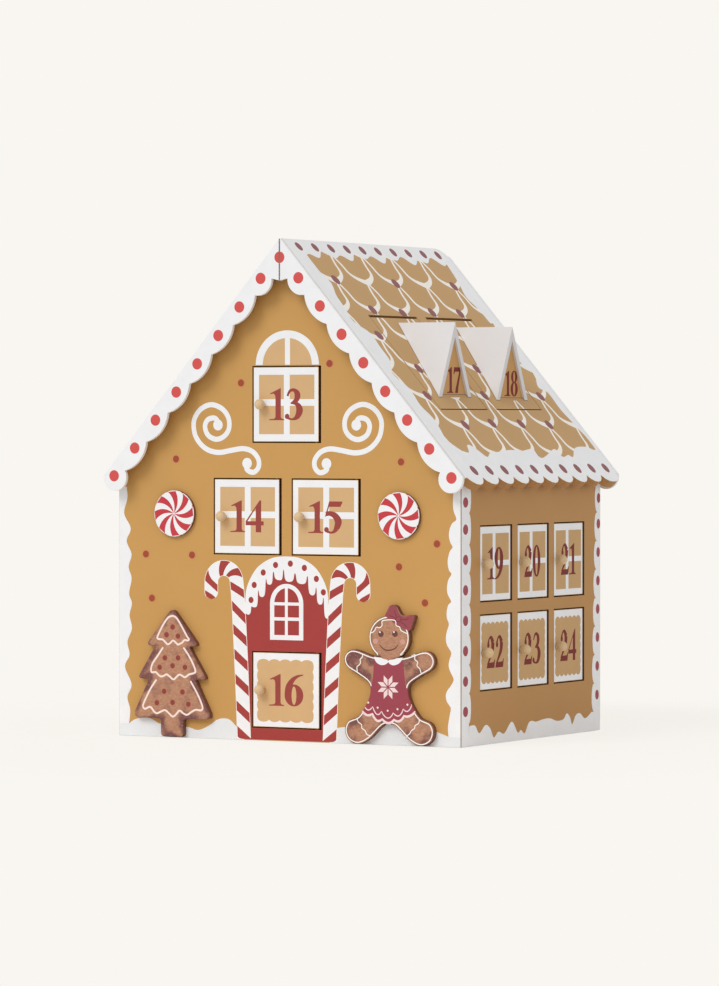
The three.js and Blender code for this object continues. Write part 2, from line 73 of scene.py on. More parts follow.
def face_matrix(across, up, origin):
    """Takes millimetres on one face of the house to metres in the frame."""
    across, up = Vector(across), Vector(up)
    columns = [across, up, across.cross(up), Vector(origin)]
    rows = [[column[i] * MM for column in columns] for i in range(3)]
    return Matrix([*rows, [0, 0, 0, 1]])


FACES = {
    "front": face_matrix((1, 0, 0), (0, 0, 1), (0, FRONT_Y, 0)),
    "right": face_matrix((0, 1, 0), (0, 0, 1), (HALF_WIDTH, SIDE_Y, 0)),
    "back": face_matrix((-1, 0, 0), (0, 0, 1), (0, BACK_Y, 0)),
    "left": face_matrix((0, -1, 0), (0, 0, 1), (-HALF_WIDTH, SIDE_Y, 0)),
    "roof_right": face_matrix((0, 1, 0), (-COS, 0, SIN), (0, ROOF_Y, RIDGE)),
    "roof_left": face_matrix((0, -1, 0), (COS, 0, SIN), (0, ROOF_Y, RIDGE)),
}
print("ridge at", round(RIDGE, 1), "mm, front wall at y", round(FRONT_Y, 2), "mm")

# %% [markdown]
# ## Colours and nodes
# Colours are written as a designer would, in sRGB hex, and turned to the linear values
# that the renderer works in. One helper adds a node, sets it and links its inputs,
# which go by name or by number. A Mix node for colours has its factor at input 0, its
# two colours at 6 and 7, and the result at output 2.


# %% Colour and node helpers
def linear(code):
    """An sRGB hex colour as linear red, green, blue and alpha."""
    parts = [int(code[i : i + 2], 16) / 255 for i in (1, 3, 5)]
    return [c / 12.92 if c <= 0.04045 else ((c + 0.055) / 1.055) ** 2.4 for c in parts] + [1.0]


def shade(code, factor):
    """The same colour, lighter or darker, in linear light."""
    return [min(1.0, c * factor) for c in linear(code)[:3]] + [1.0]


def add(tree, kind, inputs=None, **settings):
    """Adds one node. An input that is a socket is linked, any other is set."""
    node = tree.nodes.new("ShaderNode" + kind)
    for name, value in settings.items():
        setattr(node, name, value)
    for key, value in (inputs or {}).items():
        if isinstance(value, bpy.types.NodeSocket):
            tree.links.new(value, node.inputs[key])
        else:
            node.inputs[key].default_value = value
    return node


def new_material(name):
    """An empty material, its tree, and the place and normal of a point on its object."""
    material = bpy.data.materials.new(name)
    material.use_nodes = True
    tree = material.node_tree
    tree.nodes.clear()
    coordinates = add(tree, "TexCoord")
    return material, tree, coordinates.outputs["Object"], coordinates.outputs["Normal"]


def finish_surface(tree, colour, height, depth, roughness, specular=0.5):
    """Closes a material: colour and a fine relief, depth millimetres deep."""
    bump = add(tree, "Bump", {"Height": height, "Strength": 0.6, "Distance": depth * MM})
    shader = add(
        tree,
        "BsdfPrincipled",
        {"Base Color": colour, "Normal": bump.outputs[0], "IOR": 1.5},
    )
    shader.inputs["Roughness"].default_value = roughness
    shader.inputs["Specular IOR Level"].default_value = specular
    add(tree, "OutputMaterial", {"Surface": shader.outputs[0]})


# %% [markdown]
# ## Screen inks
# The prints are acrylic screen ink on sealed board: matt, thin and even, with the faint
# clouds of a hand-pulled squeegee, about 14 mm across, and the stipple of the mesh.
# The real mesh has 0.1 mm holes; it is drawn at 0.7 mm, or it would not show at all.
# IOR 1.5 and roughness 0.6 are usual for a matt acrylic film.

# %% Screen inks
CLOUD_MM = 14
STIPPLE_MM = 0.7


def clouded(tree, place, code, amount, size=CLOUD_MM):
    """A colour with soft lighter and darker clouds."""
    cloud = add(tree, "TexNoise", {"Vector": place, "Scale": 1 / (size * MM), "Detail": 3.0})
    return add(
        tree,
        "Mix",
        {0: cloud.outputs[0], 6: shade(code, 1 - amount), 7: shade(code, 1 + amount)},
        data_type="RGBA",
    ).outputs[2]


def screen_ink(name, code, amount=0.05, roughness=0.6):
    """A paint from a screen: one colour, a little cloudy, with worn specks."""
    material, tree, place, _ = new_material(name)
    stipple = add(
        tree, "TexNoise", {"Vector": place, "Scale": 1 / (STIPPLE_MM * MM), "Detail": 2.0}
    )
    colour = clouded(tree, place, code, amount)
    worn = add(tree, "MapRange", {0: stipple.outputs[0], 1: 0.62, 2: 0.8, 3: 0.0, 4: 0.12})
    colour = add(
        tree, "Mix", {0: worn.outputs[0], 6: colour, 7: shade(code, 0.7)}, data_type="RGBA"
    ).outputs[2]
    finish_surface(tree, colour, stipple.outputs[0], 0.04, roughness, 0.3)
    return material


INK_COLOURS = {
    "icing_white": "#f1f1f2",
    "icing_cream": "#f9f3e9",
    "pane_tan": "#d4ad7c",
    "pane_shaded": "#c7a06e",
    "numeral_red": "#9a423b",
    # numeral red made darker: painted shade for the numbers on the side doors; the dormers' numbers
    # use it too
    "numeral_dark": "#76190f",
    "door_red": "#a33b37",
    "cane_red": "#a53d38",
    "dot_red": "#d4524e",
    "small_dot": "#9f4830",
    "halo_salmon": "#d08a58",
    "roof_plum": "#8e5759",
    "strip_plum": "#a04a52",
    "dress_plum": "#9b424f",
    "bow_plum": "#98484f",
    "bow_fold": "#76353f",
    "seam_grey": "#756b62",
    "corner_shade": "#58544e",
    "icing_snow": "#e6e8e9",
    "icing_pink": "#f7e0d6",
    "blush_pink": "#d09a8a",
    "hem_pink": "#f0d9d8",
    "eye_brown": "#6d4038",
    "hair_brown": "#8f6650",
    "sweet_red": "#c43b42",
    "sweet_plum": "#8a4037",
    "sweet_halo": "#b97a5e",
}
INKS = {name: screen_ink(name, code) for name, code in INK_COLOURS.items()}
print(len(INKS), "screen inks")

# %% [markdown]
# ## Painted board
# The walls, doors and roof are medium density fibreboard. The face is sprayed and has a
# smooth matt coat, the laser leaves the cut edges brown, and the inside stays bare.
# Which of the three shows follows from the direction that a point of the surface faces,
# so one material dresses a whole board and stays right when a door swings open.

# %% Board finishes
FIBRE_MM = 0.5
WALL_PAINT = "#c89855"
# the wall tan made darker for the side walls: painted shade for their weaker light
SHADED_SIDE_PAINT = "#ba8a51"
EDGE_WHITE = "#dcdad7"
ROOF_PAINT = "#c39b67"
BARE_BOARD = "#c19c72"
LASER_EDGE = "#6b4630"
CARAMEL_EDGE = "#ad7c46"


def facing(tree, normal, direction, low=0.75, high=0.95):
    """1 where the surface faces a direction, 0 where it doesn't."""
    dot = add(tree, "VectorMath", {0: normal, 1: direction}, operation="DOT_PRODUCT")
    return add(tree, "MapRange", {0: dot.outputs["Value"], 1: low, 2: high}).outputs[0]


def beyond(tree, place, direction, distance, width=0.1):
    """1 where a point lies further than a distance in millimetres along a direction."""
    dot = add(tree, "VectorMath", {0: place, 1: direction}, operation="DOT_PRODUCT")
    low = (distance - width / 2) * MM
    return add(tree, "MapRange", {0: dot.outputs["Value"], 1: low, 2: low + width * MM}).outputs[0]


def fibres(tree, place):
    """The short fibres of bare board, as fine noise drawn out along one axis."""
    long_way = add(tree, "VectorMath", {0: place, 1: (1.0, 0.35, 1.0)}, operation="MULTIPLY")
    scale = 1 / (FIBRE_MM * MM)
    return add(tree, "TexNoise", {"Vector": long_way.outputs[0], "Scale": scale, "Detail": 4.0})


def painted_board(name, outward, paint, edge, inside=BARE_BOARD, extra=None):
    """Paint on the outer face, cut edges, and bare board inside."""
    material, tree, place, normal = new_material(name)
    fibre = fibres(tree, place).outputs[0]
    scorched = add(
        tree, "Mix", {0: fibre, 6: shade(edge, 0.7), 7: shade(edge, 1.25)}, data_type="RGBA"
    ).outputs[2]
    bare = add(
        tree, "Mix", {0: fibre, 6: shade(inside, 0.82), 7: shade(inside, 1.15)}, data_type="RGBA"
    ).outputs[2]
    inward = tuple(-c for c in outward)
    colour = add(
        tree, "Mix", {0: facing(tree, normal, inward), 6: scorched, 7: bare}, data_type="RGBA"
    ).outputs[2]
    coat = clouded(tree, place, paint, 0.05, 40)
    colour = add(
        tree, "Mix", {0: facing(tree, normal, outward), 6: colour, 7: coat}, data_type="RGBA"
    ).outputs[2]
    if extra:
        colour = extra(tree, place, normal, colour)
    finish_surface(tree, colour, fibre, 0.05, 0.6, 0.35)
    return material


OUTWARD = {
    "front": (0, -1, 0),
    "back": (0, 1, 0),
    "left": (-1, 0, 0),
    "right": (1, 0, 0),
    "roof_left": (-SIN, 0, COS),
    "roof_right": (SIN, 0, COS),
}
board_finishes = {
    side: painted_board(f"painted_board_{side}", OUTWARD[side], paint, LASER_EDGE)
    for side, paint in (
        ("front", WALL_PAINT),
        ("back", WALL_PAINT),
        ("left", SHADED_SIDE_PAINT),
        ("right", SHADED_SIDE_PAINT),
    )
}
PANEL_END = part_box("roof_panel_right")[1][1] / MM


def along_rake(tree, normal):
    """1 on the edges that face along the ridge, to the front or the rear."""
    depth = add(tree, "SeparateXYZ", {0: normal}).outputs[1]
    level = add(tree, "Math", {0: depth}, operation="ABSOLUTE").outputs[0]
    return add(tree, "MapRange", {0: level, 1: 0.9, 2: 0.96}).outputs[0]


def painted_rake(tree, place, normal, colour):
    """White ends, and painted edges where the panel is cut out for its hatches."""
    edge = along_rake(tree, normal)
    colour = add(
        tree, "Mix", {0: edge, 6: colour, 7: linear(ROOF_PAINT)}, data_type="RGBA"
    ).outputs[2]
    for sign in (1, -1):
        near_end = beyond(tree, place, (0, sign, 0), PANEL_END - 1)
        end = add(tree, "Math", {0: edge, 1: near_end}, operation="MULTIPLY").outputs[0]
        colour = add(
            tree, "Mix", {0: end, 6: colour, 7: linear(EDGE_WHITE)}, data_type="RGBA"
        ).outputs[2]
    return colour


for side in ("roof_left", "roof_right"):
    board_finishes[side] = painted_board(
        f"painted_{side}", OUTWARD[side], ROOF_PAINT, CARAMEL_EDGE, extra=painted_rake
    )
print(len(board_finishes), "board finishes")

# %% [markdown]
# ## Hatch lids and their dormers
# Each lid and its dormer are glued together and are one piece of the frame. The lid is
# painted as the roof is. The dormer's plates and their ends are white, and the block
# between them, set back by 2 mm, is painted gold behind its number.

# %% Hatch finish
DORMER_PAINT = "#dddbdb"
GOLD_PAINT = "#c8985a"
HATCH_SIDES = {5: "left", 6: "left", 17: "right", 18: "right"}
LID_TOP, LID_FOOT, LID_HALF = -84.5, -183.4, 40.5  # from the ridge, along the slope
DORMER_TIPS = {5: -92.4, 6: -89.5, 17: -89.5, 18: -92.4}
DORMER_RIDGE, DORMER_HALF, DORMER_RECESS = 53.5, 28.5, 2.0


def plates_end(number):
    """From the middle of the house to the ends of a dormer's roof plates, level."""
    return DORMER_RIDGE - DORMER_TIPS[number] * COS


def dormer_coat(number, sign):
    """The coat of one hatch: roof paint on its lid, white on the dormer above it."""
    slope = (sign * SIN, 0, COS)

    def coat(tree, place, normal, colour):
        colour = add(
            tree,
            "Mix",
            {0: along_rake(tree, normal), 6: colour, 7: linear(ROOF_PAINT)},
            data_type="RGBA",
        ).outputs[2]
        above = beyond(tree, place, slope, RIDGE * COS + 0.3, 0.2)
        white = clouded(tree, place, DORMER_PAINT, 0.03, 30)
        colour = add(tree, "Mix", {0: above, 6: colour, 7: white}, data_type="RGBA").outputs[2]
        level = facing(tree, normal, (sign, 0, 0))
        front = add(tree, "Math", {0: above, 1: level}, operation="MULTIPLY").outputs[0]
        edge = plates_end(number) - DORMER_RECESS / 2
        plate_end = beyond(tree, place, (sign, 0, 0), edge)
        set_back = add(tree, "Math", {0: 1.0, 1: plate_end}, operation="SUBTRACT").outputs[0]
        gold = clouded(tree, place, GOLD_PAINT, 0.05, 20)
        block = add(tree, "Math", {0: front, 1: set_back}, operation="MULTIPLY").outputs[0]
        return add(tree, "Mix", {0: block, 6: colour, 7: gold}, data_type="RGBA").outputs[2]

    return coat


hatch_finishes = {
    number: painted_board(
        f"painted_hatch_{number}",
        OUTWARD[f"roof_{side}"],
        ROOF_PAINT,
        LASER_EDGE,
        extra=dormer_coat(number, 1 if side == "right" else -1),
    )
    for number, side in HATCH_SIDES.items()
}

# %% [markdown]
# ## Bare board inside
# Base and racks are unpainted fibreboard: pale brown, fibrous and dull.

# %% Bare board
material, tree, place, _ = new_material("bare_fibreboard")
fibre = fibres(tree, place).outputs[0]
clouds = clouded(tree, place, BARE_BOARD, 0.08, 25)
bare = add(
    tree, "Mix", {0: fibre, 6: clouds, 7: shade(BARE_BOARD, 0.8)}, data_type="RGBA"
).outputs[2]
finish_surface(tree, bare, fibre, 0.08, 0.8, 0.2)
bare_fibreboard = material

# %% [markdown]
# ## Dressing the frame
# The boards keep their CAD solids. Each gets its finish, and all but the racks a 0.3 mm
# bevel, because a laser-cut and sprayed edge is never razor sharp and a soft edge catches the
# light.

# %% Finishes on the CAD nodes
LEFT_DOORS = range(7, 13)
FRONT_DOORS = range(13, 17)
RIGHT_DOORS = range(19, 25)
BACK_DOORS = range(1, 5)
DOOR_SIDES = {
    number: side
    for side, numbers in (
        ("back", BACK_DOORS),
        ("left", LEFT_DOORS),
        ("front", FRONT_DOORS),
        ("right", RIGHT_DOORS),
    )
    for number in numbers
}
EDGE_ROUND = 0.3

finishes = {
    "front_wall": board_finishes["front"],
    "back_wall": board_finishes["back"],
    "left_wall": board_finishes["left"],
    "right_wall": board_finishes["right"],
    "roof_panel_left": board_finishes["roof_left"],
    "roof_panel_right": board_finishes["roof_right"],
    "base_panel": bare_fibreboard,
    "lower_rack": bare_fibreboard,
    "attic_rack": bare_fibreboard,
}
finishes |= {f"door_{n}": board_finishes[side] for n, side in DOOR_SIDES.items()}
finishes |= {f"hatch_{n}": hatch_finishes[n] for n in HATCH_SIDES}
for name, finish in finishes.items():
    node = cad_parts[name]
    for slot in node.material_slots:
        slot.material = finish
    if not name.endswith("rack"):
        bevel = node.modifiers.new("soft_edges", "BEVEL")
        bevel.width = EDGE_ROUND * MM
        bevel.segments = 2
        bevel.limit_method = "ANGLE"
        bevel.angle_limit = math.radians(40)
print(len(finishes), "CAD nodes dressed")

# %% [markdown]
# ## Drawing flat shapes
# A shape is a list of corner points in millimetres. Smooth lines run through a few
# given points, as a pen would be led. A stroke has one width, or one
# at each point, as its third number. A ring is cut into small quadrilaterals, so it has
# no hole.


# %% Flat shapes
def rectangle(x0, x1, y0, y1):
    """Four corners, anticlockwise."""
    return [(x0, y0), (x1, y0), (x1, y1), (x0, y1)]


def oval(x, y, across, high=None, steps=24):
    """An oval by its two radii, or a circle by one."""
    high = across if high is None else high
    turns = [2 * math.pi * i / steps for i in range(steps)]
    return [(x + across * math.cos(t), y + high * math.sin(t)) for t in turns]


def arc(x, y, across, high, start, end, steps):
    """Part of an oval, its ends given in degrees."""
    turns = [math.radians(start + (end - start) * i / steps) for i in range(steps + 1)]
    return [(x + across * math.cos(t), y + high * math.sin(t)) for t in turns]


def weighted(weights, points):
    """The sum of some points, each times its weight."""
    return tuple(sum(w * v for w, v in zip(weights, values)) for values in zip(*points))


def curve(points, steps=6, closed=False):
    """A smooth line through points. A point may hold a width as its third number."""
    count = len(points)
    spans = count if closed else count - 1
    line = []
    for i in range(spans):
        if closed:
            quad = [points[(i + k) % count] for k in (-1, 0, 1, 2)]
        else:
            quad = [points[min(max(i + k, 0), count - 1)] for k in (-1, 0, 1, 2)]
        for s in range(steps):
            t = s / steps
            weights = (
                -0.5 * t + t * t - 0.5 * t**3,
                1 - 2.5 * t * t + 1.5 * t**3,
                0.5 * t + 2 * t * t - 1.5 * t**3,
                0.5 * (t**3 - t * t),
            )
            line.append(weighted(weights, quad))
    return line if closed else [*line, tuple(points[-1])]


def beside(line, i, distance):
    """The point at a distance on the left of a line's i-th point."""
    (x0, y0), (x1, y1) = line[max(i - 1, 0)][:2], line[min(i + 1, len(line) - 1)][:2]
    length = math.hypot(x1 - x0, y1 - y0) or 1.0
    x, y = line[i][:2]
    return (x - (y1 - y0) / length * distance, y + (x1 - x0) / length * distance)


def stroke(line, width=None):
    """A pen stroke as quadrilaterals, with the line's own widths or one for all."""
    half = [(p[2] if width is None else width) / 2 for p in line]
    left = [beside(line, i, h) for i, h in enumerate(half)]
    right = [beside(line, i, -h) for i, h in enumerate(half)]
    return [[right[i], right[i + 1], left[i + 1], left[i]] for i in range(len(line) - 1)]


def round_stroke(line, width):
    """A stroke with round ends."""
    ends = [oval(*line[i][:2], width / 2, steps=12) for i in (0, -1)]
    return stroke(line, width) + ends


def ring(outer, inner):
    """The band between two outlines, a quadrilateral for each of their sides."""
    count = len(outer)
    return [
        [outer[i], outer[(i + 1) % count], inner[(i + 1) % count], inner[i]]
        for i in range(count)
    ]


def moved(shape, x=0.0, y=0.0, sx=1.0, sy=1.0):
    """A shape scaled by sx and sy, then shifted by x and y."""
    return [(x + px * sx, y + py * sy) for px, py in shape]


def other_half(shape):
    """The same points on the other side of the middle, in the opposite order."""
    return [(-x, *rest) for x, *rest in reversed(shape)]


def mirror_layers(layers):
    """The same drawing on the other side of the middle."""
    return [(ink, moved(shape, sx=-1)) for ink, shape in layers]


def inked(ink, shapes):
    """Gives every shape the same ink."""
    return [(ink, shape) for shape in shapes]


# %% [markdown]
# ## From drawing to thin print
# Inks overlap in a drawing, but two films in one place would flicker. So a constrained
# Delaunay triangulation cuts all shapes along each other's edges, and every triangle
# keeps only the ink that was laid last. The result is one film 0.1 mm thick, which is
# thicker than real ink, so that it stays clear of the board in a file for the model.


# %% Triangulation and slabs
def signed_area(shape):
    """The area, positive when the corners run anticlockwise."""
    pairs = zip(shape, [*shape[1:], shape[0]])
    return sum(a[0] * b[1] - b[0] * a[1] for a, b in pairs) / 2


def inside(point, shape):
    """Whether a point lies in a shape."""
    x, y = point
    result = False
    for (x0, y0), (x1, y1) in zip(shape, [*shape[1:], shape[0]]):
        if (y0 > y) != (y1 > y) and x < (x1 - x0) * (y - y0) / (y1 - y0) + x0:
            result = not result
    return result


def simple_shapes(layers):
    """The drawing's shapes without slivers. A quadrilateral that isn't convex is cut in two."""
    for ink, shape in layers:
        ends = zip(shape, [shape[-1], *shape[:-1]])
        shape = [point for point, before in ends if math.dist(point, before) > 0.01]
        parts = [shape]
        if len(shape) == 4:
            corners = [signed_area([shape[i - 2], shape[i - 1], shape[i]]) for i in range(4)]
            if min(corners) <= 0.01 and max(corners) >= -0.01:
                parts = [shape[:3], [shape[0], *shape[2:]]]
        for part in parts:
            width = max((math.dist(part[0], point) for point in part), default=0)
            if len(part) > 2 and abs(signed_area(part)) > 0.01 * width:
                yield ink, part


def flatten(layers, keep=(), drop=(), loose=()):
    """Points and inked triangles of a drawing. Triangles outside keep or in drop go."""
    points, edges, faces, inks = [], [], [], []
    for ink, shape in simple_shapes(layers):
        area = signed_area(shape)
        shape = shape if area > 0 else shape[::-1]
        faces.append(list(range(len(points), len(points) + len(shape))))
        points += shape
        inks.append(ink)
    for knife in (*keep, *drop):
        first, count = len(points), len(knife)
        edges += [(first + i, first + (i + 1) % count) for i in range(count)]
        points += knife
    points += loose
    corners = [Vector((x, y)) for x, y in points]
    verts, _, triangles, _, _, owners = delaunay_2d_cdt(corners, edges, faces, 0, 1e-3)
    kept = []
    for triangle, owner in zip(triangles, owners):
        if not owner:
            continue
        middle = [sum(verts[v][k] for v in triangle) / 3 for k in (0, 1)]
        if any(not inside(middle, shape) for shape in keep):
            continue
        if any(inside(middle, shape) for shape in drop):
            continue
        a, b, c = (verts[v] for v in triangle)
        turned = (b - a).cross(c - a) < 0
        kept.append((triangle[::-1] if turned else triangle, inks[max(owner)]))
    return [(v.x, v.y) for v in verts], kept


def outer_normals(points, kept):
    """The border edges of some triangles, and the outward direction at their points."""
    sides = {(t[i], t[(i + 1) % 3]) for t, _ in kept for i in range(3)}
    border = [(a, b) for a, b in sides if (b, a) not in sides]
    normals = {}
    for a, b in border:
        normal = Vector((points[b][1] - points[a][1], points[a][0] - points[b][0]))
        for v in (a, b):
            normals[v] = normals.get(v, Vector((0, 0))) + normal.normalized()
    return sorted(border), {v: n.normalized() for v, n in normals.items()}


def placed(name, data):
    """A new object that stands in the scene."""
    piece = bpy.data.objects.new(name, data)
    bpy.context.scene.collection.objects.link(piece)
    return piece


def to_segment(p, a, b):
    """The distance from a point to the straight line between two others."""
    along = b - a
    t = (p - a).dot(along) / max(along.length_squared, 1e-9)
    return (p - a - along * min(1.0, max(0.0, t))).length


def slab(name, face, drawing, bottom, top, body, edge=None, rim=0.0, rim_fade=0.0):
    """A closed flat piece with an inked top. rim rounds its upper edge."""
    points, kept = drawing
    border, normals = outer_normals(points, kept)
    used = sorted({v for t, _ in kept for v in t})
    vertices, index = [], {}

    def level(label, z, out):
        for v in used:
            x, y = points[v]
            if out and v in normals:
                x, y = x + normals[v].x * out, y + normals[v].y * out
            index[label, v] = len(vertices)
            vertices.append(FACES[face] @ Vector((x, y, z)))

    level("top", top, 0)
    level("bottom", bottom, rim)
    if rim:
        level("shoulder", top - rim, rim)
    polygons, materials = [], []
    for triangle, ink in kept:
        polygons.append([index["top", v] for v in triangle])
        polygons.append([index["bottom", v] for v in reversed(triangle)])
        materials += [ink, edge or ink]
    below = {"top": "shoulder" if rim else "bottom", "shoulder": "bottom"}
    ink_at = {v: ink for t, ink in kept for v in t}
    for a, b in border:
        for upper in ("top", "shoulder") if rim else ("top",):
            lower = below[upper]
            polygons.append(
                [index[lower, a], index[lower, b], index[upper, b], index[upper, a]]
            )
            materials.append(ink_at[a] if upper == "top" else edge or ink_at[a])
    if rim:
        used_now = sorted({v for polygon in polygons for v in polygon})
        renumber = {v: i for i, v in enumerate(used_now)}
        vertices = [vertices[v] for v in used_now]
        polygons = [[renumber[v] for v in polygon] for polygon in polygons]
        index = {key: renumber[v] for key, v in index.items() if v in renumber}
    mesh = bpy.data.meshes.new(name)
    mesh.from_pydata(vertices, [], polygons)
    names = sorted(set(materials))
    for ink in names:
        mesh.materials.append(INKS[ink])
    mesh.polygons.foreach_set("material_index", [names.index(ink) for ink in materials])
    if rim_fade:
        shadow = mesh.attributes.new("rim", "FLOAT", "POINT")
        ends = [(Vector(points[a]), Vector(points[b])) for a, b in border]
        for v in used:
            here = Vector(points[v])
            near = min(to_segment(here, a, b) for a, b in ends)
            shadow.data[index["top", v]].value = min(1.0, near / rim_fade)
    piece = placed(name, mesh)
    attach(piece, body)
    return piece


LIFT = 0.02
FILM = 0.1
CLEAR = 0.4  # from a film's border to the board's edge
OPENING_CLEAR = 0.1  # the same at a compartment's opening


def print_film(name, face, layers, body, keep=(), drop=(), level=0.0):
    """One print on a face, or on a surface at a level below or above it."""
    drawing = flatten(layers, keep, drop)
    film = slab(name, face, drawing, level + LIFT, level + LIFT + FILM, body)
    print(name, len(drawing[1]), "triangles")
    return film


# %% [markdown]
# ## Numerals
# The doors carry bold serif numerals: heavy stems, hair-thin joints and slab feet. No
# font file is read. Each digit is drawn from strokes whose width swells and thins, on
# an em square 100 high, which gives the same shapes on any computer.


# %% Digits
def pen(*points):
    """A stroke through (x, y, width) points."""
    return stroke(curve(points, 6))


SIX = ring(oval(34.5, 34.5, 34, 34.8, 36), oval(34.5, 34, 8.7, 29, 36)) + pen(
    (11.5, 36, 22), (15, 60, 22), (28, 81, 16), (46, 94, 9), (68, 100, 3)
)
DIGITS = {
    "0": (62, ring(oval(31, 50, 31, 51, 36), oval(31, 50, 9.5, 45, 36))),
    "1": (
        55,
        [
            [(0, 0), (55, 0), (55, 3), (46, 5), (42.5, 10), (23, 10), (19, 5), (0, 3)],
            [(23, 10), (42.5, 10), (42.5, 101), (40, 101), (23, 90)],
            [(23, 70), (23, 90), (20, 92), (4, 85), (4, 82), (16, 84), (21.5, 79)],
            [(23, 90), (40, 101), (20, 92)],
        ],
    ),
    "2": (
        66,
        [
            *pen((14, 70, 17), (13, 80, 12), (22, 94, 7), (36, 94, 15), (48, 78, 24)),
            *pen((48, 80, 24), (44, 56, 21), (26, 32, 12), (6, 10, 8)),
            oval(13, 72, 9, 9, 16),
            [(0, 0), (60, 0), (66, 27), (62, 27), (54, 18), (8, 17), (2, 6)],
        ],
    ),
    "3": (
        66,
        [
            *pen((10, 76, 7), (19, 92, 9), (34, 95, 11), (46, 82, 21), (42, 64, 17), (22, 52, 4)),
            *pen((22, 54, 5), (42, 52, 13), (54, 34, 24), (46, 12, 18), (28, 3, 6), (12, 7, 9)),
            oval(9, 12, 8.5, 8.5, 16),
        ],
    ),
    "4": (
        66,
        [
            rectangle(0, 66, 22, 35),
            rectangle(37, 57, 0, 22),
            [(37, 35), (57, 35), (57, 101), (37, 76)],
            [(0, 35), (7, 35), (37, 76), (57, 101), (51, 101)],
        ],
    ),
    "5": (
        68,
        [
            [(19, 100), (14, 83), (60, 83), (68, 100)],
            [(14, 83), (19, 83), (12, 64), (6, 51), (4, 52)],
            *pen((7, 60, 14), (22, 62, 15), (40, 55, 20), (52, 36, 25), (45, 14, 18)),
            *pen((45, 15, 18), (36, 5, 10), (24, 2, 6), (12, 6, 10)),
            oval(9.5, 11, 8.5, 8.5, 16),
        ],
    ),
    "6": (68, SIX),
    "7": (
        66,
        [
            [(6, 100), (2, 73), (6, 73), (13, 83), (62, 83), (66, 94), (66, 100)],
            [(52, 83), (62, 83), (66, 94), (42, 20), (39, 0), (16, 0), (22, 20)],
        ],
    ),
    "8": (
        66,
        ring(oval(33, 77, 27.5, 24.5, 32), oval(33, 77, 9, 20.5, 32))
        + ring(oval(33, 28.5, 32.5, 29.5, 32), oval(33, 28, 10.5, 25, 32)),
    ),
    "9": (68, [[(68 - x, 100 - y) for x, y in shape] for shape in SIX]),
}
NUMBER_HIGH = 25.8
DIGIT_GAP = 1.5


def number_layers(value, x, y, high=NUMBER_HIGH, narrow=1.0, ink="numeral_red"):
    """A number round a middle point."""
    em = high / 100
    digits = [DIGITS[d] for d in str(value)]
    pen_x = -(sum(w for w, _ in digits) + DIGIT_GAP * (len(digits) - 1)) / 2
    layers = []
    for width, shapes in digits:
        for shape in shapes:
            points = moved(shape, x + pen_x * em * narrow, y - high / 2, em * narrow, em)
            layers.append((ink, points))
        pen_x += width + DIGIT_GAP
    return layers


# %% [markdown]
# ## Prints on the doors
# A window door has a white frame and four panes of a paler tan. A plain door has one
# panel with a wavy edge. The film covers the leaf, and its number is printed over all.

# %% Doors
DOOR_SET_BACK = 0.5  # from the walls' faces to the leaves'
PIN_LONG = 3  # the hinge pins stand out this far at a leaf's top and bottom


def panel(x0, x1, y0, y1, across, upright, deep, sag):
    """A rectangle whose four sides are rows of shallow lobes."""
    corners = rectangle(x0, x1, y0, y1)
    shape = []
    for i, ((ax, ay), (bx, by)) in enumerate(zip(corners, corners[1:] + corners[:1])):
        lobes, height = (across, deep) if i % 2 == 0 else (upright, sag)
        length = math.hypot(bx - ax, by - ay)
        ux, uy = (bx - ax) / length, (by - ay) / length
        steps = 10 * lobes
        for s in range(steps):
            t = s / steps
            out = height * abs(math.sin(math.pi * t * lobes)) ** 0.7
            shape.append((ax + ux * t * length + uy * out, ay + uy * t * length - ux * out))
    return shape


def leaf_rectangle(number):
    """A door leaf in its own face's millimetres, without its hinge pins."""
    side = DOOR_SIDES[number]
    flat = FACES[side].inverted()
    low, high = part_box(f"door_{number}")
    corners = [flat @ Vector(low), flat @ Vector(high)]
    (x0, x1), (y0, y1) = (sorted(c[k] for c in corners) for k in (0, 1))
    return x0, x1, y0 + PIN_LONG, y1 - PIN_LONG


def window_layers(x0, x1, y0, y1, columns, rows, ink):
    """A white window with a pane in every column and row."""
    layers = [("icing_white", rectangle(x0, x1, y0, y1))]
    for left, right in columns:
        for low, high in rows:
            pane = rectangle(x0 + left, x0 + right, y0 + low, y0 + high)
            layers.append((ink, pane))
    return layers


PLAIN_DOORS = (4, 10, 11, 12, 16, 22, 23, 24)
SIDE_NARROW = 0.875  # the numbers on the side doors are drawn narrower
# The columns and rows of a window's panes
GABLE_PANES = ([(5.2, 28.5), (34, 57)], [(6.1, 29.2), (34.6, 54.5)])
SIDE_PANES = ([(3.6, 22), (27, 50.6)], [(5.3, 28), (32.3, 54.2)])
# A plain panel's margins at its left, right, foot and top, then its lobes and their height
GABLE_PANEL = ((4.8, 6.2, 5.9, 7), (5, 6, 1.7, 1.1))
SIDE_PANEL = ((3.2, 4.4, 6.4, 7.4), (6, 7, 1.8, 0.9))

